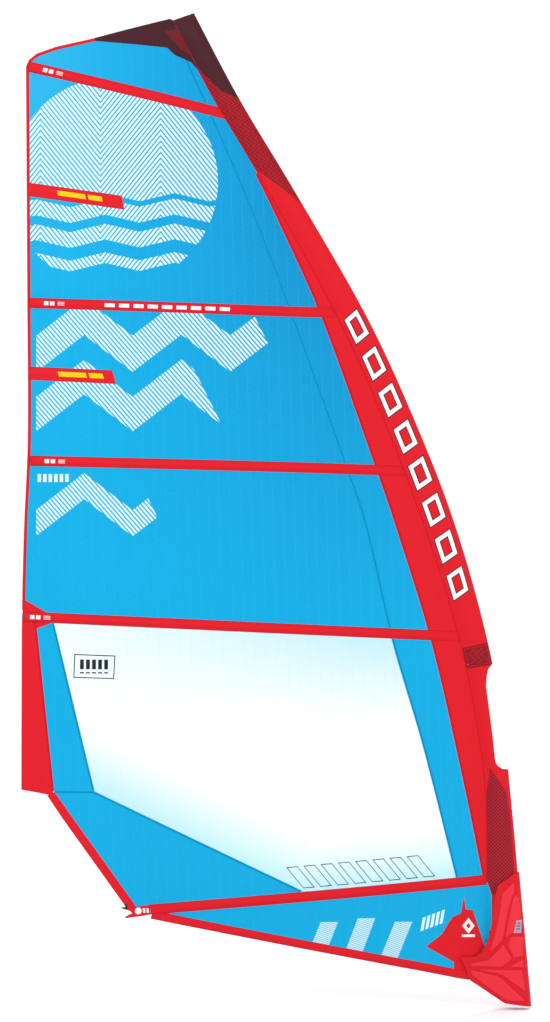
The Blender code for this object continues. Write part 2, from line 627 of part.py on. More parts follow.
# Foot panel, tack patch and foot tape
foot_edge = Seam(FOOT_EDGE, smooth=False)
tape_edge = foot_edge.shifted(FOOT_TAPE)
top = below[4].shifted(-GAP / 2)
seam_side = sleeve_seam.shifted(-GAP / 2)
foot_top = meeting(seam_side, top)
foot_start = pocket_start + 0.075
outline = [*on_line(tape_edge, (foot_start, PETALS[0][0] - 0.05), GAP), *PETALS]
petal_height = PETALS[-1][1]
outline += [(seam_side.at(petal_height), petal_height)]
outline += on_seam(seam_side, (petal_height + 0.02, foot_top[1]))
outline += on_line(top, (foot_top[0], foot_start))[1:]
plate("foot_panel", inset(outline, GAP), "blue_film")
bottom = on_line(tape_edge, (PETALS[0][0] - 0.046, -0.225), GAP)
outline = [*bottom, (TACK_FRONT, 0.190), (TACK_FRONT, SLEEVE_FOOT - GAP), (-0.146, SLEEVE_FOOT - GAP)]
outline += [(seam_side.at(petal_height) - GAP, petal_height - GAP), *PETALS[::-1]]
plate("tack_patch", inset(outline, 2 * GAP), "red_cloth")
outline = on_line(foot_edge, (foot_start - 0.06, -0.222)) + [(-0.222, tape_edge.at(-0.222))]
outline += on_line(tape_edge, (-0.226, foot_start))
plate("foot_tape", inset(outline, GAP / 2), "red_cloth")

# Leech and head tape in one ribbon, and the head patch
start = meeting(leech, above[3])[1] + 0.03
corner = meeting(tape_side, head_patch_edge)
outline = on_seam(tape_side, (start, corner[1])) + on_line(head_patch_edge, (corner[0], -1.860))[1:]
outline += on_line(head_edge, (-1.852, -2.139)) + on_seam(leech, (4.06, start))
plate("leech_tape", inset(outline, GAP / 2), "red_cloth")
seam_low = meeting(sleeve_seam, head_patch_edge)
outline = on_line(head_patch_edge, (-1.840, seam_low[0] - GAP))
outline += on_seam(sleeve_seam, (seam_low[1], 4.262), -GAP)[1:]
outline += [(-1.520, head_edge.at(-1.520)), *on_line(head_edge, (-1.560, -1.838))]
plate("head_patch", inset(outline, GAP), "maroon_cloth")

# Mast sleeve
lower = [((LOWER_NOSE.at(z), z), level(z)[1]) for z in heights(SLEEVE_FOOT, CUTOUT_LOW)]
sleeve_tube("sleeve_lower", lower, "red_cloth")
cut_edge = Seam(BOOM_CUTOUT, smooth=False)
levels = sorted({*[z for z, _ in BOOM_CUTOUT], *heights(BOOM_CUTOUT[0][0], BOOM_CUTOUT[-1][0])})
loft("sleeve_boom_cutout", [channel_ring(z, cut_edge.at(z)) for z in levels], "red_cloth")
sleeve_tube("sleeve_middle", [level(z) for z in heights(CUTOUT_HIGH, 2.60)], "red_cloth")
head_end = ((leading_edge.at(4.293), 4.293), (sleeve_seam.at(4.262), 4.262))
sleeve_tube("sleeve_upper", [*[level(z) for z in heights(2.60 + GAP, 4.16)], head_end], "red_cloth")

# Cup inside the sleeve's head that takes the mast's tip
run = (Vector((leading_edge.at(4.24), 0, 4.24)) - Vector((leading_edge.at(4.05), 0, 4.05))).normalized()
aft = Vector((-run.z, 0, run.x))
seat = Vector((leading_edge.at(4.10), 0, 4.10)) + aft * CUP_BACK + run * 0.070
rings = []
for radius, distance in CUP:
    middle = seat + run * distance
    rings.append([middle + aft * x + Vector((0, y, 0)) for x, y in circle(radius, ROUND_SIDES)])
loft("mast_tip_cup", rings, "plastic")

# Tack strap, pulley block and its three sheaves
bend = STRAP_HALF
path = ((0.0025, 0.310), (0.0027, 0.187), (0.0117, 0.164), (0.0118, SWING_Z))
inner = [(y - bend, z + (bend if i == 3 else 0)) for i, (y, z) in enumerate(path)]
outer = [(y + bend, z - (bend if i == 3 else 0)) for i, (y, z) in enumerate(path)]
section = inner + [(-y, z) for y, z in inner[::-1]] + [(-y, z) for y, z in outer] + outer[::-1]
rings = [[(STRAP_X + side * STRAP_WIDTH / 2, y, z) for y, z in section] for side in (-1, 1)]
loft("tack_strap", rings, "webbing")

axle_z = SWING_Z - AXLE_DROP
room = 3 * SHEAVE_WIDTH + 4 * 0.0006
block_half = room / 2 + 0.003
block = box("pulley_block", (STRAP_X - block_half - 0.001, -0.008, axle_z - 0.007),
            (STRAP_X + block_half + 0.001, 0.008, SWING_Z + 0.0085), "steel")
window_cutter = box("sheave_window", (STRAP_X - room / 2, -0.02, axle_z - 0.03),
                    (STRAP_X + room / 2, 0.02, axle_z + 0.0135), "steel")
slot_cutter = box("strap_slot", (STRAP_X - STRAP_WIDTH / 2 - 0.0008, -0.02, SWING_Z - 0.0035),
                  (STRAP_X + STRAP_WIDTH / 2 + 0.0008, 0.02, SWING_Z + 0.0035), "steel")
axle_rings = [[(STRAP_X + side * (block_half - 0.0005), y, axle_z + z) for y, z in circle(AXLE_RADIUS, 12)]
              for side in (-1, 1)]
axle = loft("pulley_axle", axle_rings, "steel")
boolean(block, "DIFFERENCE", window_cutter)
boolean(block, "DIFFERENCE", slot_cutter)
boolean(block, "UNION", axle)
for number in range(3):
    half, bore, groove, rim = SHEAVE_WIDTH / 2, AXLE_RADIUS + 0.0005, SHEAVE_RADIUS - 0.003, SHEAVE_RADIUS
    profile = ((bore, -half), (rim, -half), (rim, -half + 0.0012), (groove, 0.0), (rim, half - 0.0012),
               (rim, half), (bore, half))
    centre = (STRAP_X + (number - 1) * (SHEAVE_WIDTH + 0.0006), 0, axle_z)
    turned(f"sheave_{number + 1}", profile, centre, (1, 0, 0), ROUND_SIDES, "plastic")

# The padded tack fairing: one half is sewn on, the other half opens about the leading edge
nose = on_seam(FAIRING_NOSE, (0.004, 0.584))
outline = [*FAIRING_OUTLINE, *nose]
cuts = []
low_nose, high_nose = Vector((nose[0][0], 0, nose[0][1])), Vector((nose[-1][0], 0, nose[-1][1]))
rake = (high_nose - low_nose).normalized()
for distance, _ in FAIRING[1:-1]:
    cuts.append((low_nose - Vector((distance, 0, 0)), Vector((rake.z, 0, -rake.x))))


def fairing_face(side, depth):
    """The face of a fairing half that lies this deep under its outside."""
    def height(x, z):
        return belly(x, z) + side * max(fairing_half(x, z) - depth, GAP)
    return height


for name, front, back in (("flap", fairing_face(-1, 0), fairing_face(-1, FAIRING_PAD)),
                          ("back", fairing_face(1, FAIRING_PAD), fairing_face(1, 0))):
    plate(f"tack_fairing_{name}", outline, "red_cloth", front, back, lines=cuts)
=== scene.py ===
"""The looks of a freeride windsurf sail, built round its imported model: film panels with a laminated thread
grid, sewn seams, batten pockets, a pleated mast sleeve, patches and a padded tack fairing. The sail stands
up in the XZ plane with its belly towards -Y. Metres throughout.
"""

import math

import bmesh
import bpy
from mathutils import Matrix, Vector


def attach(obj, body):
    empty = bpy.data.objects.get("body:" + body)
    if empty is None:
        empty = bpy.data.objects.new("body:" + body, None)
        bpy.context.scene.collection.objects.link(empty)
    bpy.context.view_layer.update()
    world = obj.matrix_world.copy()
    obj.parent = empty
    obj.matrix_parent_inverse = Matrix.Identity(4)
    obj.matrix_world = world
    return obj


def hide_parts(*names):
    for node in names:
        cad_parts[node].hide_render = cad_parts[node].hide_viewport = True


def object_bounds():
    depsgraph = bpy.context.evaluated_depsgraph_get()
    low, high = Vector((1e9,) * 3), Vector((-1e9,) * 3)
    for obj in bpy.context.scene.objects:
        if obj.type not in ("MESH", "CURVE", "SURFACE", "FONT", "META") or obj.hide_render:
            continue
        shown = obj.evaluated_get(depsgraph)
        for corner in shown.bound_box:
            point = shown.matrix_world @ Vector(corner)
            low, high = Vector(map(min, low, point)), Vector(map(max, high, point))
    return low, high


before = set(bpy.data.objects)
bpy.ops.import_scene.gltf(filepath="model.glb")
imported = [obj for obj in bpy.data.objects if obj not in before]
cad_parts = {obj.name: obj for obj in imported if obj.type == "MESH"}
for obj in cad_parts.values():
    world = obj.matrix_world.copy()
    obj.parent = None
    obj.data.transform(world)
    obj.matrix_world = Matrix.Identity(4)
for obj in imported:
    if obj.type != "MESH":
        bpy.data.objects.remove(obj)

cad_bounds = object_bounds()

# Mesh spacing
GRID = 0.030  # size of the faces of a film panel
SEAM_STEP = 0.025  # spacing of the stations along a seam
SLEEVE_STEP = 0.016
SLEEVE_SIDES = 20  # faces from the sleeve's nose to its seam, on each side
RIBBON_STEP = 0.022  # spacing of the rings along a tape, seam or pocket
SMALL_GRID = 0.012  # faces of the small patches
PAD_GRID = 0.0042

# Cloth thicknesses, and how far a seam stands off the panels
FILM = 0.0008
PATCH = 0.0020
SEAM_HALF = 0.0011
SEAM_TAPE = 0.0056  # half the width of a sewn seam
SEAM_LINE = 0.0015
POCKET_FLANGE = 0.0016
LEAN_LENGTH = 0.07  # how far back from its end a piece starts to slant
SLEEVE_CLOTH = 0.0010

# Seams that run up the sail, as (height, x)
LEADING_EDGE = ((0.0, 0.041), (0.60, -0.013), (1.02, -0.058), (1.52, -0.135), (2.10, -0.295),
                (2.62, -0.500), (3.01, -0.685), (3.53, -0.985), (3.93, -1.225), (4.30, -1.421))
SLEEVE_SEAM = ((0.20, -0.146), (0.55, -0.151), (0.92, -0.156), (1.20, -0.190), (1.60, -0.272),
               (2.10, -0.428), (2.60, -0.622), (3.02, -0.815), (3.62, -1.148), (3.90, -1.315),
               (4.03, -1.386), (4.27, -1.512))
BAND_SEAM = ((0.54, -0.160), (0.96, -0.246), (1.58, -0.389), (2.10, -0.549), (2.35, -0.635),
             (3.00, -0.870), (3.44, -1.069), (3.61, -1.152))
LUFF_PANEL_SEAM = ((0.52, -0.271), (1.14, -0.428), (1.58, -0.557), (2.10, -0.680), (2.35, -0.765),
                   (3.03, -1.010), (3.50, -1.192), (4.10, -1.455))
LEECH = ((0.90, -2.163), (1.30, -2.162), (1.70, -2.160), (2.07, -2.151), (2.45, -2.135),
         (3.05, -2.137), (4.10, -2.143))
FREE_EDGE = ((0.38, -1.720), (0.74, -2.010), (0.86, -2.098), (0.98, -2.150), (1.12, -2.163), (3.05, -2.137),
             (4.10, -2.143))
BOOM_CUTOUT = ((1.026, -0.082), (1.040, -0.104), (1.060, -0.117), (1.166, -0.128), (1.387, -0.157),
               (1.426, -0.155), (1.461, -0.148), (1.480, -0.131))
STRIP_BACK = ((0.90, -2.022), (1.70, -2.107))
STRIP_FRONT = ((0.90, -1.842), (1.70, -2.036))
CLEW_TOP = ((-2.30, 0.931), (-1.80, 0.931))

# Seams that run across the sail, as (x, height)
HEAD_EDGE = ((-2.143, 4.082), (-2.095, 4.119), (-2.015, 4.146), (-1.844, 4.183), (-1.500, 4.274))
HEAD_PATCH_EDGE = ((-2.143, 4.072), (-2.095, 4.108), (-2.015, 4.135), (-1.844, 4.172), (-1.680, 4.158),
                   (-1.532, 4.144), (-1.500, 4.113), (-1.428, 4.082), (-1.387, 4.031), (-1.300, 3.955))
BATTEN_LINES = (
    ((-2.143, 4.065), (-1.260, 3.852)),
    ((-2.143, 3.042), (-1.002, 3.002), (-0.780, 3.000)),
    ((-2.143, 2.360), (-1.002, 2.331), (-0.480, 2.314)),
    ((-2.163, 1.687), (-1.132, 1.642), (-0.230, 1.599)),
    ((-1.665, 0.417), (-0.130, 0.552)),
)
BATTEN_STARTS = (-2.1235, -2.121, -2.118, -2.158, -1.600)
MINI_LINES = (((-2.137, 3.532), (-1.722, 3.471)), ((-2.135, 2.738), (-1.760, 2.719)))
FOOT_EDGE = ((-1.655, 0.391), (-1.598, 0.381), (-0.400, 0.152), (-0.285, 0.128), (-0.222, 0.117))

# Widths along the edges and the pockets
LEECH_TAPE = 0.014
FOOT_TAPE = 0.037
POCKET_HALF = 0.0222
MINI_HALF = 0.029
OVERLAP = 0.006  # how far a patch laps over the panel beside it

# Corners of the pieces round the clew and the tack, as (x, height)
CLEW_EYELET = (-1.657, 0.416)
EYELET_HOLE = 0.0118
WINDOW_CLEW = (-1.849, 0.929)
WINDOW_FOOT = (-0.953, 0.503)
DIAGONAL_TOP = (-2.019, 0.929)
DIAGONAL_MIDDLE = (-1.933, 0.808)
DIAGONAL_FOOT = -1.665
CLEW_TIPS = ((-1.712, 0.433), (-1.737, 0.429), (-1.694, 0.415), (-1.684, 0.404), (-1.699, 0.400),
             (-1.720, 0.383))
PETALS = ((-0.415, 0.264), (-0.346, 0.318), (-0.322, 0.361), (-0.299, 0.392), (-0.264, 0.407),
          (-0.252, 0.480), (-0.244, 0.424), (-0.213, 0.419), (-0.160, 0.258))
PETAL_SIDE = (-0.1425, 0.304)
PETAL_ROOT = (-0.295, 0.196)
TACK_FRONT = -0.070
BAND_TOP = 3.600
SLEEVE_FOOT = 0.330
CUTOUT_LOW = 1.0255
CUTOUT_HIGH = 1.4805
SLEEVE_JOIN = 2.600
LOWER_NOSE = ((0.30, -0.004), (0.60, -0.020), (1.03, -0.060))
BELLY_DEPTH = ((-0.1, 0.020), (1.6, 0.062), (3.0, 0.045), (4.4, 0.015))
SLEEVE_HALVES = (0.030, 0.022)  # half thickness of the sleeve at the foot and at the head
SAIL_TOP = 4.30

# Batten pockets: rise and half width of the tunnel over the batten, then over the tensioner; its fade
ROD_TUNNEL = (0.0072, 0.0165, 0.0102, 0.0212)
MINI_TUNNEL = (0.0030, 0.014, 0.0030, 0.014)
POCKET_FADE = 0.020
MINI_FADE = 0.03

# Declared size of the cloth in the boom cut-out, set by hand: its width, and its mean width
CUTOUT_WIDTH = 0.16
CUTOUT_MEAN_WIDTH = 0.115

# A flat outline that fills less than this share of its rectangle is declared as a narrower one
LEAST_SHARE = 0.32
DECLARED_SHARE = 0.5

WORLD_STRENGTH = 1.08
LIGHTS = (("key", (-5.0, -7.0, 6.5), 3.0, 330), ("fill", (5.5, -6.0, 3.0), 4.0, 120),
          ("rim", (3.0, 6.5, 5.5), 3.0, 200))

# Tack fairing: its outline, its half thickness at a distance behind the nose, and its raised pads
FAIRING_OUTLINE = ((-0.039, 0.579), (-0.069, 0.555), (-0.105, 0.531), (-0.117, 0.492), (-0.132, 0.376),
                   (-0.147, 0.291), (-0.178, 0.238), (-0.202, 0.221), (-0.268, 0.217), (-0.241, 0.159),
                   (-0.225, 0.117), (-0.078, 0.022))
FAIRING_NOSE = ((0.0, 0.041), (0.60, -0.013))
FAIRING = ((0.0, 0.0009), (0.005, 0.015), (0.02, 0.030), (0.05, 0.039), (0.10, 0.040), (0.16, 0.031),
           (0.22, 0.015), (0.32, 0.012))
FAIRING_PAD = 0.005
PAD_RISE = 0.0032
PAD_EDGE = 0.0050
PADS = (
    ((-0.034, 0.547), (-0.089, 0.496), (-0.099, 0.431), (-0.111, 0.354), (-0.136, 0.269), (-0.148, 0.231),
     (-0.087, 0.294), (-0.075, 0.350), (-0.063, 0.419), (-0.046, 0.476), (-0.036, 0.496)),
    ((-0.032, 0.492), (-0.044, 0.468), (-0.065, 0.375), (-0.077, 0.300), (-0.042, 0.328), (-0.005, 0.403),
     (-0.014, 0.474)),
    ((-0.051, 0.310), (-0.066, 0.275), (-0.038, 0.215), (0.004, 0.227), (0.002, 0.310)),
    ((-0.083, 0.277), (-0.148, 0.207), (-0.223, 0.190), (-0.221, 0.177), (-0.087, 0.179), (-0.045, 0.213)),
    ((-0.061, 0.180), (0.004, 0.174), (0.003, 0.213)),
    ((-0.208, 0.167), (-0.111, 0.148), (-0.087, 0.142), (0.014, 0.069), (-0.001, 0.166)),
    ((-0.223, 0.163), (-0.220, 0.142), (-0.073, 0.032), (0.016, 0.030), (-0.087, 0.126), (-0.107, 0.139)),
)

# The tucks in the cloth round the two corners that carry the load: (x, height, count, depth, reach)
TUCKS = ((-1.657, 0.416, 23, 0.0011, 0.30), (-0.10, 0.20, 19, 0.0012, 0.34), (-1.47, 4.23, 17, 0.0007, 0.25))


def srgb(red, green, blue, share=0.70):
    """A colour from its 0-255 screen values, as linear light. The share leaves room for the lights."""
    channels = []
    for value in (red, green, blue):
        value /= 255
        linear = value / 12.92 if value <= 0.04045 else ((value + 0.055) / 1.055) ** 2.4
        channels.append(linear * share)
    return (*channels, 1.0)


BLUE = srgb(0, 176, 230)
DEEP_BLUE = srgb(0, 138, 200)
THREAD_BLUE = srgb(40, 190, 236)
SEAM_BLUE = srgb(14, 118, 168)
ICE = srgb(224, 251, 255)
RED = srgb(234, 27, 40)
PAD_HIGHLIGHT_RED = srgb(242, 52, 66)
DARK_RED = srgb(176, 24, 38)
CRIMSON = srgb(168, 26, 38)
FADE_DARK = srgb(116, 22, 34)
MAROON = srgb(74, 32, 40)
YELLOW = srgb(255, 206, 0)
WHITE = srgb(252, 252, 252)
INK = srgb(34, 36, 44)
MESH_RED = srgb(190, 34, 48)
MESH_HOLE_SHADE = srgb(112, 24, 38)
CLEAR = srgb(254, 255, 255, 0.92)
CLEAR_BLUE = srgb(200, 244, 255, 0.86)


class Seam:
    """A smooth line through a few points, read as a value at a distance along it."""

    def __init__(self, points, spacing=SEAM_STEP, smooth=True):
        self.points = list(points)
        if smooth:
            self.points = self.stations(points, spacing)

    def stations(self, points, spacing):
        slopes = []
        for index in range(len(points)):
            before = points[max(index - 1, 0)]
            after = points[min(index + 1, len(points) - 1)]
            slopes.append((after[1] - before[1]) / (after[0] - before[0]))
        found = []
        for index in range(len(points) - 1):
            (start, low), (end, high) = points[index], points[index + 1]
            length = end - start
            count = max(1, round(length / spacing))
            for step in range(count):
                t = step / count
                value = ((2 * t**3 - 3 * t**2 + 1) * low + (t**3 - 2 * t**2 + t) * length * slopes[index]
                         + (3 * t**2 - 2 * t**3) * high + (t**3 - t**2) * length * slopes[index + 1])
                found.append((start + t * length, value))
        found.append(points[-1])
        return found

    def at(self, along):
        points = self.points
        low, high = 0, len(points) - 2
        while low < high:
            middle = (low + high + 1) // 2
            if along > points[middle][0]:
                low = middle
            else:
                high = middle - 1
        (start, first), (end, last) = points[low], points[low + 1]
        return first + (last - first) * (along - start) / (end - start)

    def shifted(self, offset):
        return Seam([(along, value + offset) for along, value in self.points], smooth=False)

    def between(self, start, end):
        low, high = min(start, end) + 0.002, max(start, end) - 0.002
        found = [point for point in self.points if low < point[0] < high]
        return found if start < end else found[::-1]


def straight(points):
    return Seam(points, smooth=False)


leading_edge = Seam(LEADING_EDGE)
sleeve_seam = Seam(SLEEVE_SEAM)
band_seam = Seam(BAND_SEAM)
luff_panel_seam = Seam(LUFF_PANEL_SEAM)
leech = Seam(LEECH)
free_edge = Seam(FREE_EDGE, 0.05)
head_edge = straight(HEAD_EDGE)
head_patch_edge = straight(HEAD_PATCH_EDGE)
foot_edge = straight(FOOT_EDGE)
strip_back = straight(STRIP_BACK)
strip_front = straight(STRIP_FRONT)
batten_lines = [Seam(points) for points in BATTEN_LINES]
belly_depth = Seam(BELLY_DEPTH, 0.05)
lower_nose = Seam(LOWER_NOSE)
fairing_nose = straight(FAIRING_NOSE)
fairing_half = Seam(FAIRING, 0.002)


def belly(x, z):
    """How far the cloth bellies out, as y."""
    front, back = sleeve_seam.at(z), free_edge.at(max(z, FREE_EDGE[0][0]))
    share = min(max((front - x) / (front - back), 0.0), 1.0)
    return -belly_depth.at(z) * 4 * share * (1 - share) * (1.3 - 0.6 * share)


def surface(x, z):
    """The middle of the cloth: the belly, with the tucks that the load pulls in from the corners."""
    y = belly(x, z)
    for corner_x, corner_z, count, depth, reach in TUCKS:
        away = math.hypot(x - corner_x, z - corner_z)
        if away < 3 * reach:
            turn = math.atan2(z - corner_z, x - corner_x)
            fade = math.exp(-((away / reach) ** 2)) * min(away / 0.08, 1.0)
            y += depth * fade * math.sin(count * turn)
    return y


def meeting(upright, across):
    """The point where a seam that runs up the sail crosses one that runs across it."""
    z = across.points[0][1]
    for _ in range(40):
        z = across.at(upright.at(z))
    return upright.at(z), z


def stretch(seam, start, end):
    return [(start, seam.at(start)), *seam.between(start, end), (end, seam.at(end))]


def on_seam(seam, heights):
    return [(x, z) for z, x in stretch(seam, *heights)]


def on_line(seam, ends, offset=0.0):
    return [(x, z + offset) for x, z in stretch(seam, *ends)]


def outline_between(left, right, low, high):
    corners = [meeting(left, low), meeting(right, low), meeting(right, high), meeting(left, high)]
    points = [corners[0], *low.between(corners[0][0], corners[1][0]), corners[1]]
    points += [(x, z) for z, x in right.between(corners[1][1], corners[2][1])]
    points += [corners[2], *high.between(corners[2][0], corners[3][0]), corners[3]]
    points += [(x, z) for z, x in left.between(corners[3][1], corners[0][1])]
    return points


def area_of(outline):
    return abs(sum(outline[i - 1][0] * outline[i][1] - outline[i][0] * outline[i - 1][1]
                   for i in range(len(outline)))) / 2


def cut_size(outline):
    """The smallest rectangle of cloth that the outline is cut from, as (width, length)."""
    best = None
    for step in range(0, 90, 3):
        turn = math.radians(step)
        across = [x * math.cos(turn) + z * math.sin(turn) for x, z in outline]
        along = [z * math.cos(turn) - x * math.sin(turn) for x, z in outline]
        size = (max(across) - min(across), max(along) - min(along))
        if best is None or size[0] * size[1] < best[0] * best[1]:
            best = size
    return min(best), max(best)


# ---------------------------------------------------------------------------------------------- materials


class Value:
    """A number in a material's nodes, so that its maths reads as plain expressions."""

    def __init__(self, tree, socket):
        self.tree = tree
        self.socket = socket

    def maths(self, operation, *others, clamp=False):
        node = self.tree.nodes.new("ShaderNodeMath")
        node.operation = operation
        node.use_clamp = clamp
        for entry, value in zip(node.inputs, (self, *others)):
            if isinstance(value, Value):
                self.tree.links.new(value.socket, entry)
            else:
                entry.default_value = value
        return Value(self.tree, node.outputs[0])

    def __add__(self, other):
        return self.maths("ADD", other)

    def __sub__(self, other):
        return self.maths("SUBTRACT", other)

    def __mul__(self, other):
        return self.maths("MULTIPLY", other)

    def __truediv__(self, other):
        return self.maths("DIVIDE", other)

    def __neg__(self):
        return self.maths("MULTIPLY", -1.0)

    def magnitude(self):
        return self.maths("ABSOLUTE")

    def least(self, other):
        return self.maths("MINIMUM", other)

    def most(self, other):
        return self.maths("MAXIMUM", other)

    def wave(self, period):
        """A triangle wave from 0 to 1 and back over each period."""
        return self.maths("PINGPONG", period / 2) * (2 / period)

    def inside(self, soft=0.0006):
        """1 where the number is above 0, 0 where it is below, with a soft edge this wide."""
        return self.maths("MULTIPLY_ADD", 1 / soft, 0.5, clamp=True)

    def opposite(self):
        return self.maths("MULTIPLY_ADD", -1.0, 1.0, clamp=True)


class Look:
    """A procedural material, with the place in the sail and the place along the piece to hand."""

    def __init__(self, name, roughness=0.5, metallic=0.0):
        self.material = bpy.data.materials.new(name)
        self.material.use_nodes = True
        self.tree = self.material.node_tree
        self.shader = self.tree.nodes["Principled BSDF"]
        self.shader.inputs["Metallic"].default_value = metallic
        self.shader.inputs["Roughness"].default_value = roughness
        self.place = self.tree.nodes.new("ShaderNodeTexCoord").outputs["Object"]
        self.x, self.y, self.z = self.parts(self.place)
        self.colour = None
        self.normal = None

    def parts(self, vector):
        node = self.tree.nodes.new("ShaderNodeSeparateXYZ")
        self.tree.links.new(vector, node.inputs[0])
        return [Value(self.tree, output) for output in node.outputs]

    def run(self):
        """How far along the piece, how far across it, and its third measure."""
        node = self.tree.nodes.new("ShaderNodeAttribute")
        node.attribute_name = "run"
        return self.parts(node.outputs["Vector"])

    def paint(self, colour, mask=None):
        """Lays a colour over what is there, where the mask is 1."""
        if self.colour is None:
            node = self.tree.nodes.new("ShaderNodeRGB")
            node.outputs[0].default_value = colour
            self.colour = node.outputs[0]
            return
        node = self.tree.nodes.new("ShaderNodeMix")
        node.data_type = "RGBA"
        self.tree.links.new(mask.socket, node.inputs["Factor"])
        self.tree.links.new(self.colour, node.inputs["A"])
        node.inputs["B"].default_value = colour
        self.colour = node.outputs["Result"]

    def noise(self, scale, detail=3.0, stretch=(1, 1, 1)):
        mapping = self.tree.nodes.new("ShaderNodeMapping")
        mapping.inputs["Scale"].default_value = stretch
        self.tree.links.new(self.place, mapping.inputs["Vector"])
        node = self.tree.nodes.new("ShaderNodeTexNoise")
        node.inputs["Scale"].default_value = scale
        node.inputs["Detail"].default_value = detail
        self.tree.links.new(mapping.outputs[0], node.inputs["Vector"])
        return Value(self.tree, node.outputs["Fac"])

    def half_plane(self, start, end):
        """Distance to the left of the line from start to end, both as (x, height)."""
        run = (Vector(end) - Vector(start)).normalized()
        node = self.tree.nodes.new("ShaderNodeVectorMath")
        node.operation = "DOT_PRODUCT"
        self.tree.links.new(self.place, node.inputs[0])
        node.inputs[1].default_value = (-run.y, 0, run.x)
        return Value(self.tree, node.outputs["Value"]) + (run.y * start[0] - run.x * start[1])

    def within(self, corners):
        """Distance inside a convex outline, given anticlockwise."""
        found = None
        for index, corner in enumerate(corners):
            side = self.half_plane(corners[index - 1], corner)
            found = side if found is None else found.least(side)
        return found

    def bump(self, height, distance, strength=1.0):
        node = self.tree.nodes.new("ShaderNodeBump")
        node.inputs["Distance"].default_value = distance
        node.inputs["Strength"].default_value = strength
        self.tree.links.new(height.socket, node.inputs["Height"])
        if self.normal is not None:
            self.tree.links.new(self.normal, node.inputs["Normal"])
        self.normal = node.outputs["Normal"]

    def rough(self, value):
        self.tree.links.new(value.socket, self.shader.inputs["Roughness"])

    def done(self):
        self.tree.links.new(self.colour, self.shader.inputs["Base Color"])
        if self.normal is not None:
            self.tree.links.new(self.normal, self.shader.inputs["Normal"])
        return self.material


def weave(look, pitch=0.0011, depth=0.00014):
    """Plain-woven polyester: over and under threads both ways."""
    warp = look.x.wave(pitch)
    weft = look.z.wave(pitch)
    fuzz = look.noise(900, 2)
    look.bump(warp.most(weft) + fuzz * 0.6, depth, 0.55)


def thread_grid(look):
    """The threads laminated between the two films: two slanted families and a coarser upright one."""
    found = None
    for slant, pitch, width in ((0.45, 0.0115, 0.00045), (-0.45, 0.0115, 0.00045), (0.03, 0.046, 0.0007)):
        line = (look.x + look.z * slant).wave(pitch) * (pitch / 2)
        thread = (-line + width).inside(0.0004)
        found = thread if found is None else found.most(thread)
    return found


def zigzag_rows(look, along, across, rows, colour, pitch=0.0054, swing=0.0022, width=0.00050):
    """Rows of zigzag stitching at distances across the piece."""
    zig = (along.wave(pitch) - 0.5) * swing
    found = None
    for row in rows:
        thread = ((across - row - zig).magnitude() * -1.0 + width).inside(0.0003)
        found = thread if found is None else found.most(thread)
    look.paint(colour, found)
    look.bump(found, 0.0003, 0.8)


def hatch(look, slope, fold, period, pitch, duty):
    """Parallel print lines that fold to and fro like a row of chevrons."""
    line = (look.z + look.x.wave(fold) * (slope * fold)) if fold else (look.z + look.x * slope)
    return (line.wave(pitch) * -1.0 + duty).inside(period)


def print_sun(look):
    """A hatched rising sun whose lower half is cut by waves."""
    centre_x, centre_z, radius = -1.765, 3.560, 0.452
    over, up = look.x - centre_x, look.z - centre_z
    away = (over * over + up * up).maths("SQRT")
    disc = (away * -1.0 + radius).inside(0.0015)
    lines = hatch(look, 0.62, 0.52, 0.12, 0.0245, 0.60)
    swell = look.x.wave(0.30) * 0.035
    gaps = None
    for height, half in ((3.500, 0.012), (3.400, 0.020), (3.285, 0.028), (3.150, 0.062)):
        gap = ((look.z + swell - height).magnitude() * -1.0 + half).inside(0.001)
        gaps = gap if gaps is None else gaps.most(gap)
    low = (look.z * -1.0 + 4.02).inside(0.001)
    return disc * lines * gaps.opposite() * low


def print_waves(look):
    """Three hatched zigzag bands that shorten downwards."""
    lines = hatch(look, 1.15, 0, 0.12, 0.0225, 0.58)
    crest = look.x.wave(0.42) * 0.16
    found = None
    for height, half, end in ((2.900, 0.078, -1.115), (2.640, 0.074, -1.36), (2.170, 0.056, -1.60)):
        band = ((look.z - crest - (height - 0.08)).magnitude() * -1.0 + half).inside(0.001)
        stop = (look.x * -1.0 + end - (look.z - height) * 0.5).inside(0.001)
        band = band * stop * (look.x + 2.098).inside(0.001)
        found = band if found is None else found.most(band)
    return found * lines


def bars(look, corner, along, across, count, pitch, width, height):
    """A row of small upright bars from a corner. along and across are unit vectors in the sail's plane."""
    u = (look.x - corner[0]) * along[0] + (look.z - corner[1]) * along[1]
    v = (look.x - corner[0]) * across[0] + (look.z - corner[1]) * across[1]
    row = (u.maths("FLOORED_MODULO", pitch) * -1.0 + width).inside() * u.inside()
    return row * (u * -1.0 + count * pitch).inside() * v.inside() * (v * -1.0 + height).inside()


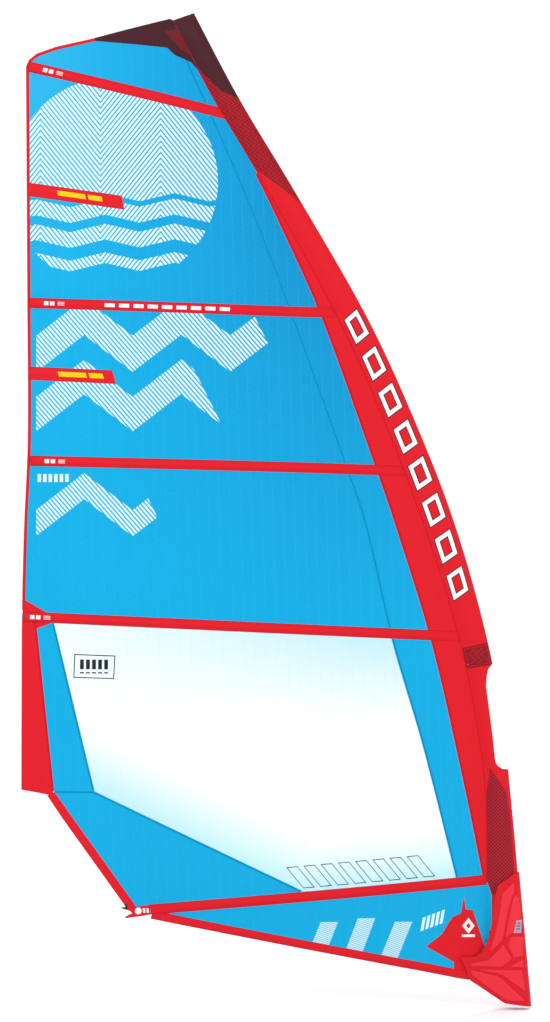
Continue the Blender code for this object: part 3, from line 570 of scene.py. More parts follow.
def blue_film(name, prints=()):
    look = Look(name, 0.26)
    look.paint(BLUE)
    # Darker towards the luff in the upper panels: painted shade, standing in for the shading of the belly.
    depth = (look.z - 1.5).maths("MULTIPLY_ADD", 0.55, 0.0, clamp=True)
    luff_shade = ((look.x + 1.95) / 1.1).maths("MULTIPLY_ADD", 1.0, 0.0, clamp=True)
    look.paint(DEEP_BLUE, luff_shade * depth)
    look.paint(DEEP_BLUE, look.noise(1.7, 2) * 0.22)
    threads = thread_grid(look)
    look.paint(THREAD_BLUE, threads * 0.55)
    look.bump(threads, 0.00025, 0.7)
    look.bump(look.noise(34, 3), 0.0009, 0.25)
    ink = None
    for made in prints:
        mask = made(look)
        ink = mask if ink is None else ink.most(mask)
    shine = look.noise(9, 3) * 0.10 + 0.21
    if ink is not None:
        look.paint(ICE, ink)
        look.bump(ink, 0.0001, 0.6)
        shine = shine + ink * 0.22
    look.rough(shine)
    look.shader.inputs["Specular IOR Level"].default_value = 0.10
    look.shader.inputs["Coat Weight"].default_value = 0.02
    look.shader.inputs["Coat Roughness"].default_value = 0.12
    return look.done()


def print_foot(look):
    """Pale hatched slashes and a block of bars on the foot panel."""
    shape = None
    for left, height in ((-0.960, 0.372), (-0.800, 0.388), (-0.640, 0.372)):
        corners = ((left, 0.15), (left + 0.075, 0.15), (left + 0.165, height), (left + 0.090, height))
        slash = look.within(corners)
        shape = slash if shape is None else shape.most(slash)
    shape = shape.inside(0.001)
    lines = hatch(look, -0.35, 0, 0.15, 0.0085, 0.74)
    block = bars(look, (-0.440, 0.330), (0.985, -0.17), (-0.34, 0.94), 5, 0.019, 0.012, 0.052)
    return (shape * lines * 0.85).most(block)


def print_bars(corner, count, pitch, height):
    def made(look):
        return bars(look, corner, (1.0, 0.0), (0.0, 1.0), count, pitch, pitch * 0.62, height)
    return made


def clear_film():
    """The window: clear film with the same threads, a faint blue cast at two corners, and its prints."""
    look = Look("window_film", 0.10)
    look.paint(CLEAR)
    top = look.half_plane((-2.036, 1.66), (-0.57, 1.60)).maths("MULTIPLY_ADD", 2.8, 1.0, clamp=True)
    top = top * (look.x * 0.47 + 1.19)
    clew_side = look.half_plane(WINDOW_CLEW, WINDOW_FOOT).maths("MULTIPLY_ADD", -4.5, 1.0, clamp=True)
    foot_side = look.half_plane(WINDOW_FOOT, (-0.27, 0.56)).maths("MULTIPLY_ADD", -4.5, 1.0, clamp=True)
    look.paint(CLEAR_BLUE, top.most(clew_side).most(foot_side).least(1.0))
    threads = thread_grid(look)
    look.paint(srgb(196, 226, 236, 0.95), threads * 0.55)
    look.bump(threads, 0.0002, 0.6)
    look.bump(look.noise(16, 3), 0.0010, 0.2)

    # A framed panel of plain bars high on the window
    frame_box = look.within(((-1.9368, 1.4234), (-1.7600, 1.4181), (-1.7547, 1.5196), (-1.9326, 1.5258)))
    edge = frame_box.inside() * (frame_box * -1.0 + 0.0042).inside()
    marks = bars(look, (-1.908, 1.460), (1.0, -0.01), (0.0, 1.0), 5, 0.0262, 0.0165, 0.042)
    foot_marks = bars(look, (-1.908, 1.442), (1.0, -0.01), (0.0, 1.0), 5, 0.0262, 0.0165, 0.006)
    look.paint(INK, edge.most(marks).most(foot_marks))

    # Slanted outlined blocks along the foot of the window
    along = Vector((0.996, 0.088))
    pitch = 0.0745
    u = (look.x + 0.945) * along.x + (look.z - 0.517) * along.y
    v = (look.z - 0.517) * along.x - (look.x + 0.945) * along.y
    skew = u + v * 0.68
    spot = skew.maths("FLOORED_MODULO", pitch)
    side = spot.least(spot * -1.0 + 0.050).least(v).least(v * -1.0 + 0.098)
    row = skew.inside() * (skew * -1.0 + 8 * pitch).inside()
    look.paint(INK, side.inside() * (side * -1.0 + 0.0040).inside() * row * 0.9)

    look.rough(look.noise(11, 2) * 0.08 + 0.07)
    look.shader.inputs["Transmission Weight"].default_value = 0.55
    look.shader.inputs["IOR"].default_value = 1.28
    return look.done()


def red_cloth(name, extra=None):
    look = Look(name, 0.62)
    look.paint(RED)
    look.paint(DARK_RED, look.noise(2.4, 3) * 0.16)
    look.paint(DARK_RED, look.noise(420, 2) * 0.20)
    weave(look)
    if extra:
        extra(look)
    look.shader.inputs["Specular IOR Level"].default_value = 0.10
    look.shader.inputs["Sheen Weight"].default_value = 0.01
    look.shader.inputs["Sheen Roughness"].default_value = 0.4
    return look.done()


def maroon_cloth():
    """Dark reinforced cloth with an open mesh of fine red threads in its middle."""
    look = Look("head_patch_cloth", 0.7)
    look.paint(MAROON)
    look.paint(INK, look.noise(300, 2) * 0.22)
    mesh = look.within(((-1.598, 4.199), (-1.465, 4.130), (-1.352, 4.008), (-1.390, 4.108), (-1.437, 4.236)))
    stripe = (look.z + look.x.wave(0.020) * 0.010).wave(0.0105)
    threads = (stripe * -1.0 + 0.42).inside(0.2)
    look.paint(CRIMSON, mesh.inside(0.004) * threads * 0.85)
    weave(look, 0.0014, 0.0002)
    look.bump(mesh.inside(0.004) * threads, 0.0003, 0.7)
    look.shader.inputs["Specular IOR Level"].default_value = 0.10
    return look.done()


def head_fade(look):
    """The sleeve's dark head, and the hatched fade below it."""
    fade = look.half_plane((-1.149, 3.620), (-0.976, 3.486))
    stripe = (look.x * 0.75 + look.z.wave(0.060) * 0.034).wave(0.0165)
    lines = (stripe * -1.0 + 0.5).inside(0.25)
    dark = fade.inside(0.004)
    look.paint(CRIMSON, dark * 0.80)
    look.paint(FADE_DARK, dark * lines * 0.75)
    head = look.half_plane((-1.428, 4.082), (-1.300, 3.955))
    head = head.least(look.half_plane((-1.300, 3.955), (-1.2226, 3.920)))
    look.paint(MAROON, head.inside(0.001))


def sleeve_print(look):
    """The head's colours, the sewn label over the boom, and a row of plain outlined blocks."""
    head_fade(look)

    # Slanted outlined blocks down the sleeve, where its run gives the height and the share of its chord
    height, share, _ = look.run()
    slant = height + share * 0.075
    spot = (slant - 1.815).maths("FLOORED_MODULO", 0.158)
    inside = spot.least(spot * -1.0 + 0.112).least((share - 0.20) * 0.13).least((share * -1.0 + 0.86) * 0.13)
    row = (slant - 1.815).inside() * (slant * -1.0 + 1.815 + 8 * 0.158).inside()
    core = inside * -1.0 + 0.026
    look.paint(INK, inside.inside() * core.inside() * row)
    ring = (inside - 0.0042).inside() * (core - 0.0042).inside()
    look.paint(WHITE, ring * row)
    label_print(look)


def label_print(look):
    """The dark sewn label where the sleeve ends over the boom."""
    label = look.within(((-0.2376, 1.4614), (-0.130, 1.4818), (-0.1512, 1.5755), (-0.2579, 1.5509)))
    look.paint(FADE_DARK, label.inside())
    look.paint(DARK_RED, (label - 0.0035).inside())
    look.paint(FADE_DARK, (label - 0.0125).inside())
    look.paint(CRIMSON, (label - 0.0150).inside())
    chevrons = ((look.x * 0.6 + look.z.wave(0.05) * 0.020).wave(0.016) * -1.0 + 0.4).inside(0.2)
    look.paint(FADE_DARK, (label - 0.0150).inside() * chevrons * 0.7)
    look.bump(label.inside(0.002), 0.0008, 0.9)


def mesh_print(look):
    """The open drain mesh sewn into the lower sleeve."""
    panel = look.within(((-0.1555, 0.548), (-0.127, 0.484), (-0.030, 0.530), (-0.054, 0.842), (-0.069, 0.930),
                         (-0.1395, 1.038), (-0.1555, 0.920)))
    look.paint(MESH_RED, panel.inside(0.001))
    # The holes are painted darker: painted shade of the inside of the sleeve, seen through the open mesh.
    holes = ((look.x + look.z).wave(0.0150) + (look.x - look.z).wave(0.0150) - 1.05).inside(0.3)
    look.paint(MESH_HOLE_SHADE, panel.inside(0.001) * holes)
    rim = ((panel - 0.004).magnitude() * -1.0 + 0.0035).inside()
    look.paint(DARK_RED, rim * 0.7)
    look.bump((panel.inside(0.002) * holes).opposite(), 0.0007, 0.9)
    foot = look.within(((-0.170, 0.32), (-0.139, 0.32), (-0.1305, 0.376), (-0.1315, 0.484), (-0.153, 0.549)))
    look.paint(BLUE, foot.inside(0.001))


def tack_print(look):
    """A small plain badge on the tack patch: a white diamond over a bar."""
    u = (look.x + 0.232).magnitude()
    v = (look.z - 0.352).magnitude()
    diamond = (u * 1.25 + v) * -1.0 + 0.034
    bar = (u * -1.0 + 0.028).least((look.z - 0.309).magnitude() * -1.0 + 0.0055)
    hole = (u * 1.25 + v) * -1.0 + 0.013
    look.paint(WHITE, diamond.inside() * hole.inside().opposite())
    look.paint(WHITE, bar.inside())


def clew_print(look):
    """The dark tips beyond the clew eyelet, and a label of three white bars beside it."""
    tips = (look.x * -1.0 - 1.705).least(look.z * -1.0 + 0.445)
    look.paint(INK, tips.inside(0.001))
    look.paint(WHITE, bars(look, (-1.636, 0.408), (1.0, 0.08), (0.0, 1.0), 3, 0.0155, 0.0095, 0.020))


def tape_cloth(name, half, extra=None):
    """Cloth tape with stitching along both edges."""
    def made(look):
        along, across, _ = look.run()
        if extra:
            extra(look, along, across)
        edge = half - 0.0032
        zigzag_rows(look, along, across, (edge, -edge), DARK_RED)
        rim = (across.magnitude() - (half - 0.0009)).inside(0.0006)
        look.paint(DARK_RED, rim * 0.8)
    return red_cloth(name, made)


def pocket_label(look, along, across, start=0.062):
    """White marks at the leech end of a pocket: two blocks and three thin bars."""
    inside = across.magnitude() * -1.0 + 0.0085
    reach = along - start
    spot = reach.maths("FLOORED_MODULO", 0.026)
    block = (spot * -1.0 + 0.019).least(inside).inside() * reach.inside() * (reach * -1.0 + 0.050).inside()
    thin = (across.wave(0.0062) * -1.0 + 0.5).inside(0.2) * (reach - 0.059).inside()
    thin = thin * (reach * -1.0 + 0.088).inside() * inside.inside()
    look.paint(WHITE, block.most(thin * 0.8))


def near_label(look, along, across):
    """The same marks, close to the leech end."""
    pocket_label(look, along, across, 0.030)


def pocket_row(look, along, across):
    """The label, and a longer row of plain marks towards the middle of the pocket."""
    pocket_label(look, along, across)
    inside = (across.magnitude() * -1.0 + 0.0080)
    spot = (along - 0.325).maths("FLOORED_MODULO", 0.062)
    mark = (spot * -1.0 + 0.044).least(inside).inside()
    mark = mark * (along - 0.325).inside() * (along * -1.0 + 0.880).inside()
    look.paint(WHITE, mark)


def mini_marks(look, along, across):
    """Two yellow bars on a mini batten's pocket."""
    lean = along + across * 0.35
    first = (lean - 0.130).least(lean * -1.0 + 0.252)
    second = (lean - 0.264).least(lean * -1.0 + 0.325)
    bar = first.most(second).least((across - 0.002).magnitude() * -1.0 + 0.0105)
    look.paint(YELLOW, bar.inside())


def fairing_cloth():
    """Padded cloth: a painted highlight on the crowns of the raised pads, painted shade in the sewn channels
    round them, and a small plain badge.
    """
    look = Look("padded_tack_cloth", 0.58)
    look.paint(RED)
    look.paint(DARK_RED, look.noise(380, 2) * 0.20)
    rise, _, _ = look.run()
    # Painted highlight: lighter towards the crown of each raised pad.
    look.paint(PAD_HIGHLIGHT_RED, (rise - 0.35).maths("MULTIPLY", 3.0, clamp=True))
    # Painted shade: darker along the sewn channels round the pads.
    channel = (((rise - 0.16).magnitude() * -1.0) + 0.14).inside(0.1)
    look.paint(DARK_RED, channel * 0.35)
    badge = look.within(((-0.040, 0.325), (-0.006, 0.325), (-0.002, 0.380), (-0.026, 0.380)))
    look.paint(srgb(196, 170, 186), badge.inside())
    look.paint(srgb(120, 84, 140), (badge - 0.006).inside() * (look.z.wave(0.012) - 0.5).inside(0.2))
    weave(look, 0.0013, 0.0002)
    look.shader.inputs["Specular IOR Level"].default_value = 0.10
    look.shader.inputs["Sheen Weight"].default_value = 0.02
    return look.done()


def hard(name, colour, roughness, metallic=0.0, grain=0.0001, scale=500, stretch=(1, 1, 1)):
    """Moulded plastic, turned steel or drawn fibre, by its colour and its grain."""
    look = Look(name, roughness, metallic)
    look.paint(colour)
    look.paint(tuple(channel * 0.6 for channel in colour[:3]) + (1.0,), look.noise(40, 4) * 0.35)
    look.bump(look.noise(scale, 3, stretch), grain, 0.5)
    look.rough(look.noise(60, 3, stretch) * 0.22 + (roughness - 0.08))
    return look.done()


# ------------------------------------------------------------------------------------------------- meshes


def add(name, mesh, material, nodes=(), body="sail", run=None):
    """Puts a bmesh into the scene as one smooth-shaded piece that rides on a body."""
    bmesh.ops.recalc_face_normals(mesh, faces=mesh.faces[:])
    if mesh.calc_volume(signed=True) < 0:
        bmesh.ops.reverse_faces(mesh, faces=mesh.faces[:])
    data = bpy.data.meshes.new(name)
    mesh.to_mesh(data)
    mesh.free()
    if run:
        attribute = data.attributes.new("run", "FLOAT_VECTOR", "POINT")
        attribute.data.foreach_set("vector", [number for row in run for number in row])
    data.shade_smooth()
    data.set_sharp_from_angle(angle=math.radians(50))
    thing = bpy.data.objects.new(name, data)
    bpy.context.collection.objects.link(thing)
    data.materials.append(material)
    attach(thing, body)
    if nodes:
        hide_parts(*nodes)
    return thing


def stretched(thing, width, length, area=None):
    """Works out the size that a piece of cloth is cut to, and leaves it unused."""
    if area is None:
        area = width * length * 0.9999
    if area < LEAST_SHARE * width * length:
        width = area / (DECLARED_SHARE * length)
    min(area, width * length * 0.9999)


def cut_on_grid(mesh, spacing):
    for axis in (0, 2):
        values = [vert.co[axis] for vert in mesh.verts]
        normal = Vector((0, 0, 0))
        normal[axis] = 1
        for step in range(math.ceil(min(values) / spacing), math.floor(max(values) / spacing) + 1):
            parts = mesh.verts[:] + mesh.edges[:] + mesh.faces[:]
            bmesh.ops.bisect_plane(mesh, geom=parts, dist=1e-5, plane_co=normal * step * spacing,
                                   plane_no=normal)


def flat_mesh(outline, spacing, hole=None):
    """A flat mesh over an outline, cut into small faces."""
    flat = bmesh.new()
    edges = []
    for ring in [outline] + ([hole] if hole else []):
        verts = [flat.verts.new((x, 0, z)) for x, z in ring]
        edges += [flat.edges.new((verts[i - 1], verts[i])) for i in range(len(verts))]
    if hole:
        bmesh.ops.triangle_fill(flat, edges=edges, use_beauty=True)
    else:
        flat.faces.new(verts)
    cut_on_grid(flat, spacing)
    bmesh.ops.triangulate(flat, faces=[face for face in flat.faces if len(face.verts) > 4])
    flat.verts.index_update()
    return flat


def cloth(name, outline, material, nodes=(), half=FILM / 2, spacing=GRID, hole=None):
    """A taut sheet over an outline, on the sail's surface."""
    flat = flat_mesh(outline, spacing, hole)
    solid = bmesh.new()
    near = []
    far = []
    for vert in flat.verts:
        y = surface(vert.co.x, vert.co.z)
        near.append(solid.verts.new((vert.co.x, y - half, vert.co.z)))
        far.append(solid.verts.new((vert.co.x, y + half, vert.co.z)))
    for face in flat.faces:
        ids = [vert.index for vert in face.verts]
        solid.faces.new([near[i] for i in ids])
        solid.faces.new([far[i] for i in reversed(ids)])
    for edge in flat.edges:
        if edge.is_boundary:
            a, b = [vert.index for vert in edge.verts]
            solid.faces.new((near[a], near[b], far[b], far[a]))
    flat.free()
    thing = add(name, solid, material, nodes)
    stretched(thing, *cut_size(outline), area_of(outline))
    return thing


def skin(rows, closed=False):
    """Joins a row of rings with equal counts of points into a bmesh."""
    solid = bmesh.new()
    made = [[solid.verts.new(point) for point in ring] for ring in rows]
    pairs = list(zip(made, made[1:])) + ([(made[-1], made[0])] if closed else [])
    for one, other in pairs:
        for i in range(len(one)):
            solid.faces.new((one[i - 1], one[i], other[i], other[i - 1]))
    if not closed:
        solid.faces.new(made[0])
        solid.faces.new(made[-1])
    return solid


def even(path, spacing):
    """The path with points at an even spacing, its own corners kept."""
    found = []
    for start, end in zip(path, path[1:]):
        start, end = Vector(start), Vector(end)
        count = max(1, round((end - start).length / spacing))
        found += [start.lerp(end, i / count) for i in range(count)]
    return found + [Vector(path[-1])]


def sweep(name, path, section, material, nodes=(), inner=None, lean=0.0):
    """Carries a section along a path in the sail's surface. The section gives a ring of (across, out) at a
    distance along the path. With an inner section the piece is a hollow tube, open at both ends. Its far end
    is cut at a slant when it has a lean."""
    points = even(path, RIBBON_STEP)
    rings = []
    hollows = []
    run = []
    lengths = [0.0]
    for one, other in zip(points, points[1:]):
        lengths.append(lengths[-1] + (other - one).length)
    total = lengths[-1]
    for index, point in enumerate(points):
        before = points[max(index - 1, 0)]
        after = points[min(index + 1, len(points) - 1)]
        heading = (after - before).normalized()
        side = Vector((-heading.y, heading.x))
        for source, target in ((section, rings), (inner, hollows)):
            if source is None:
                continue
            ring = []
            slant = lean * max(0.0, 1 - (total - lengths[index]) / LEAN_LENGTH)
            for across, out in source(lengths[index], total):
                place = point + side * across + heading * (across * slant)
                ring.append((place.x, surface(place.x, place.y) + out, place.y))
            target.append(ring)
        run.append([(lengths[index], across, out) for across, out in section(lengths[index], total)])
    numbers = [row for ring in run for row in ring]
    if inner is None:
        mesh = skin(rings)
    else:
        mesh = skin(rings + hollows[::-1], closed=True)
        numbers += [row for ring in run[::-1] for row in ring]
    thing = add(name, mesh, material, nodes, run=numbers)
    ring = section(total / 2, total)
    width = max(across for across, _ in ring) - min(across for across, _ in ring)
    stretched(thing, width * (2 if inner else 1), total)
    return thing


def flat_section(half_width, half=SEAM_HALF):
    """A thin ribbon with softened edges, as rings of (across, out)."""
    soft = min(0.0014, half_width * 0.4)
    corners = ((half_width, -0.0002), (half_width - soft, -half), (0.0, -half), (-half_width + soft, -half),
               (-half_width, -0.0002), (-half_width, 0.0002), (-half_width + soft, half), (0.0, half),
               (half_width - soft, half), (half_width, 0.0002))

    def section(distance, total):
        return corners
    return section


def pocket_section(half_width, rod_rise, rod_half, lump_rise, lump_half, wall=0.0, fade=0.0):
    """A batten pocket: flat flanges with a tunnel between them that swells over the tensioner at its leech
    end and fades out at its luff end. The wall is taken off inside."""
    shares = [-1.0, -0.94, -0.80, -0.66, -0.54, -0.42, -0.30, -0.18, -0.07, 0.07, 0.18, 0.30, 0.42, 0.54,
              0.66, 0.80, 0.94, 1.0]

    def section(distance, total):
        blend = min(max((distance - 0.052) / 0.055, 0.0), 1.0)
        blend = blend * blend * (3 - 2 * blend)
        rise = lump_rise + (rod_rise - lump_rise) * blend
        reach = lump_half + (rod_half - lump_half) * blend
        power = 4.0 - 2.0 * blend
        if fade:
            rise *= min(1.0, max(0.12, (total - distance) / fade))
        found = []
        for share in shares:
            across = share * (half_width - (0.0012 if wall else 0.0))
            bulge = rise * max(0.0, 1 - min(abs(across) / reach, 1.0) ** power)
            edge = 0.0004 if abs(share) == 1.0 else POCKET_FLANGE
            found.append((across, max(edge + bulge - wall, 0.0002)))
        return [(across, -out) for across, out in found[::-1]] + found
    return section


def sleeve_ring(front, tail, half, wall=0.0, wrinkle=0.0):
    """The sleeve's section between a point on the leading edge and one on its seam: a teardrop."""
    front = Vector((front[0], 0, front[1]))
    tail = Vector((tail[0], 0, tail[1]))
    chord = (tail - front).length
    across = (tail - front) / chord
    shares = [(i / SLEEVE_SIDES) ** 1.8 for i in range(SLEEVE_SIDES + 1)]
    sides = []
    for share in shares:
        plump = 2.6 * math.sqrt(share) * (1 - share) * half
        crease = wrinkle * math.sin(math.pi * share)
        distance = share * (chord - (0.004 if wall else 0.0)) + wall * (1 - share)
        sides.append((share, distance, max(plump + crease - wall, 0.0004 if wall else SEAM_HALF)))
    ring = [(front + across * distance + Vector((0, -wide, 0)), share, -1.0)
            for share, distance, wide in sides]
    ring[0] = (front + across * sides[0][1], 0.0, -1.0)
    ring += [(front + across * distance + Vector((0, wide, 0)), share, 1.0)
             for share, distance, wide in sides[:0:-1]]
    return ring


def sleeve_wrinkle(z, phase):
    """Small tucks across the sleeve, deeper where it ends over the boom and near the foot."""
    slack = (0.0006 + 0.0018 * math.exp(-(((z - 1.50) / 0.10) ** 2))
             + 0.0016 * math.exp(-(((z - 1.0) / 0.10) ** 2)))
    return slack * (math.sin(z * 71 + phase) * 0.6 + math.sin(z * 163 + phase * 2.3) * 0.4)


def sleeve_half(z):
    share = min(max(z / SAIL_TOP, 0.0), 1.0)
    return SLEEVE_HALVES[0] + (SLEEVE_HALVES[1] - SLEEVE_HALVES[0]) * share


def sleeve_tube(name, stations, material, node, squeeze=None):
    """A length of mast sleeve, open at both ends. Each station is a leading-edge point and a seam point."""
    outer = []
    inner = []
    run = []
    for front, tail in stations:
        half = sleeve_half(front[1]) * (squeeze(front[1]) if squeeze else 1.0)
        crease = sleeve_wrinkle(front[1], 0.7)
        ring = sleeve_ring(front, tail, half, wrinkle=crease)
        outer.append([point for point, _, _ in ring])
        run.append([(front[1], share, side) for _, share, side in ring])
        inner.append([point for point, _, _ in sleeve_ring(front, tail, half, SLEEVE_CLOTH, crease)])
    numbers = [row for ring in run + run[::-1] for row in ring]
    thing = add(name, skin(outer + inner[::-1], closed=True), material, (node,), run=numbers)
    girth = sum((outer[0][i] - outer[0][i - 1]).length for i in range(len(outer[0])))
    top_girth = sum((outer[-1][i] - outer[-1][i - 1]).length for i in range(len(outer[-1])))
    length = math.hypot(stations[-1][0][0] - stations[0][0][0], stations[-1][0][1] - stations[0][0][1])
    stretched(thing, max(girth, top_girth), length, (girth + top_girth) / 2 * length)
    return thing


def spaced(start, end, spacing):
    count = max(1, round(abs(end - start) / spacing))
    return [start + (end - start) * i / count for i in range(count + 1)]


# ---------------------------------------------------------------------------------------- the sail's cloth

plain_blue = blue_film("blue_film_plain")
upper_blue = blue_film("blue_film_sun", (print_sun,))
middle_blue = blue_film("blue_film_waves", (print_waves,))
lower_blue = blue_film("blue_film_marks", (print_waves, print_bars((-2.092, 2.268), 6, 0.024, 0.034)))
foot_blue = blue_film("blue_film_foot", (print_foot,))
window_look = clear_film()
plain_red = red_cloth("red_cloth_plain")
label_red = red_cloth("red_cloth_label", label_print)
sleeve_red = red_cloth("red_sleeve_print", sleeve_print)
lower_sleeve_red = red_cloth("red_sleeve_mesh", mesh_print)
tack_red = red_cloth("red_tack_patch", tack_print)
clew_red = red_cloth("red_clew_patch", clew_print)
maroon = maroon_cloth()

EDGE = POCKET_HALF - OVERLAP
above = [seam.shifted(EDGE) for seam in batten_lines]
below = [seam.shifted(-EDGE) for seam in batten_lines]
tape_side = leech.shifted(LEECH_TAPE - OVERLAP)

# Film panels behind and in front of the thin luff panel seam, from the head down. Their edges meet under
# the sewn seams and run in under the pockets.
panel_rows = (("head", above[0], head_patch_edge, plain_blue), ("upper", above[1], below[0], upper_blue),
              ("middle", above[2], below[1], middle_blue), ("lower", above[3], below[2], lower_blue))
for name, low, high, look in panel_rows:
    outline = outline_between(tape_side, luff_panel_seam, low, high)
    cloth(f"{name}_film", outline, look, (f"{name}_panel",))
    if name != "upper":
        in_front = sleeve_seam if name == "head" else band_seam
        outline = outline_between(luff_panel_seam, in_front, low, high)
        cloth(f"{name}_luff_film", outline, plain_blue, (f"{name}_luff_panel",))

# In the upper row the red luff band is a wedge that starts at a point on the sleeve's seam
low, high = above[1], below[0]
back_low, back_high = meeting(luff_panel_seam, low), meeting(luff_panel_seam, high)
band_low = meeting(band_seam, low)
front_low, front_high = meeting(sleeve_seam, low), meeting(sleeve_seam, high)
outline = [*on_line(low, (back_low[0], band_low[0])), *on_seam(band_seam, (band_low[1], BAND_TOP))[1:]]
outline += on_seam(sleeve_seam, (BAND_TOP + 0.01, front_high[1]))
outline += on_line(high, (front_high[0], back_high[0]))[1:]
outline += on_seam(luff_panel_seam, (back_high[1], back_low[1]))[1:-1]
cloth("upper_luff_film", outline, plain_blue, ("upper_luff_panel",))
outline = on_line(low, (band_low[0], front_low[0]))
outline += on_seam(sleeve_seam, (front_low[1], BAND_TOP + 0.01))[1:]
outline += on_seam(band_seam, (BAND_TOP, band_low[1]))[:-1]
cloth("upper_luff_band", outline, plain_red, ("luff_band_upper",))
band_rows = (("middle", 2, 1, plain_red), ("lower", 3, 2, plain_red), ("boom", 4, 3, label_red))
for name, low, high, look in band_rows:
    outline = outline_between(band_seam, sleeve_seam, above[low], below[high])
    cloth(f"{name}_luff_band", outline, look, (f"luff_band_{name}",))

# Below the boom
clew_top = straight(CLEW_TOP)
cloth("window_luff_film", outline_between(luff_panel_seam, band_seam, above[4], below[3]), plain_blue,
      ("window_luff_panel",))
cloth("leech_strip_film", outline_between(strip_back, strip_front, clew_top, below[3]), plain_blue,
      ("leech_strip",))
leech_foot = straight(((-2.30, 0.963), (-1.90, 0.892)))
cloth("lower_leech_cloth", outline_between(leech, strip_back, leech_foot, below[3]), plain_red,
      ("lower_leech_panel",), half=SEAM_HALF * 0.7)
top_left, top_right = meeting(strip_front, below[3]), meeting(luff_panel_seam, below[3])
foot_front = meeting(luff_panel_seam, above[4])
outline = [WINDOW_CLEW, WINDOW_FOOT, *on_line(above[4], (WINDOW_FOOT[0] + 0.02, foot_front[0]))]
outline += on_seam(luff_panel_seam, (foot_front[1], top_right[1]))[1:]
outline += on_line(below[3], (top_right[0], top_left[0]))[1:]
cloth("window_film", outline, window_look, ("window",))
pocket_side = on_line(above[4], (DIAGONAL_FOOT, WINDOW_FOOT[0]))
outline = [DIAGONAL_MIDDLE, *pocket_side, WINDOW_FOOT, WINDOW_CLEW, DIAGONAL_TOP]
cloth("clew_film", outline, plain_blue, ("clew_panel",))

# Clew patch with its diagonal tape
pocket_start = BATTEN_STARTS[4]
patch_end = pocket_start - 0.003
outline = [*CLEW_TIPS, FOOT_EDGE[0], (patch_end, below[4].at(pocket_start) - OVERLAP)]
outline += [(patch_end, above[4].at(pocket_start) + OVERLAP), pocket_side[0], DIAGONAL_MIDDLE,
            DIAGONAL_TOP, (-2.051, 0.914), (-1.980, 0.808)]
hole = [(CLEW_EYELET[0] + EYELET_HOLE * math.cos(math.tau * i / 40),
         CLEW_EYELET[1] + EYELET_HOLE * math.sin(math.tau * i / 40)) for i in range(40)]
cloth("clew_patch_cloth", outline, clew_red, ("clew_patch",), half=PATCH / 2,
      spacing=SMALL_GRID, hole=hole)

# Foot panel, tack patch and foot tape
tape_edge = foot_edge.shifted(FOOT_TAPE - OVERLAP)
foot_top = meeting(sleeve_seam, below[4])
foot_start = pocket_start + 0.060
outline = [*on_line(tape_edge, (foot_start, PETAL_ROOT[0])), PETAL_ROOT, *PETALS, PETAL_SIDE]
outline += [(PETAL_SIDE[0], SLEEVE_FOOT), *on_seam(sleeve_seam, (SLEEVE_FOOT + 0.01, foot_top[1]))]
outline += on_line(below[4], (foot_top[0], foot_start))[1:]
cloth("foot_film", outline, foot_blue, ("foot_panel",))
bottom = on_line(foot_edge.shifted(FOOT_TAPE - OVERLAP), (PETAL_ROOT[0], -0.225))
outline = [*bottom, (TACK_FRONT, 0.190), (TACK_FRONT, SLEEVE_FOOT - 0.002)]
outline += [(PETAL_SIDE[0], SLEEVE_FOOT - 0.002), PETAL_SIDE, *PETALS[::-1], PETAL_ROOT]
cloth("tack_patch_cloth", outline, tack_red, ("tack_patch",), half=PATCH / 2, spacing=SMALL_GRID)

# Head patch on the sail behind the sleeve
seam_low = meeting(sleeve_seam, head_patch_edge)
outline = on_line(head_patch_edge, (-1.860, seam_low[0]), -0.002)
outline += on_seam(sleeve_seam, (seam_low[1], 4.262))[1:]
outline += [(-1.520, head_edge.at(-1.520)), *on_line(head_edge, (-1.560, -1.852))]
cloth("head_patch_cloth", outline, maroon, ("head_patch",), half=PATCH / 2, spacing=0.016)

# ------------------------------------------------------------------------------------- tapes and seams

leech_look = tape_cloth("red_leech_tape", LEECH_TAPE / 2)
start = meeting(leech, above[3])[1] + 0.012
path = on_seam(leech.shifted(LEECH_TAPE / 2), (start, 4.060))
path += [(x + 0.003, z - LEECH_TAPE / 2) for x, z in on_line(head_edge, (-2.128, -1.846))]
sweep("leech_and_head_tape", path, flat_section(LEECH_TAPE / 2, 0.0016), leech_look,
      ("leech_tape",))
foot_look = tape_cloth("red_foot_tape", FOOT_TAPE / 2)
path = on_line(foot_edge.shifted(FOOT_TAPE / 2), (-1.600, -0.224))
sweep("foot_hem", path, flat_section(FOOT_TAPE / 2, 0.0018), foot_look, ("foot_tape",))


def seam_cloth(name, colour, line, extra=None):
    """A narrow sewn seam: the cloth's own colour, a dark line where the edges meet and a row of stitches on
    each side of it."""
    look = Look(name, 0.7)
    look.paint(colour)
    if extra:
        extra(look)
    along, across, _ = look.run()
    look.paint(line, (across.magnitude() * -1.0 + SEAM_LINE).inside(0.0005))
    zigzag_rows(look, along, across, (0.0034, -0.0034), line, 0.005, 0.0016, 0.0004)
    weave(look)
    look.shader.inputs["Specular IOR Level"].default_value = 0.06
    return look.done()


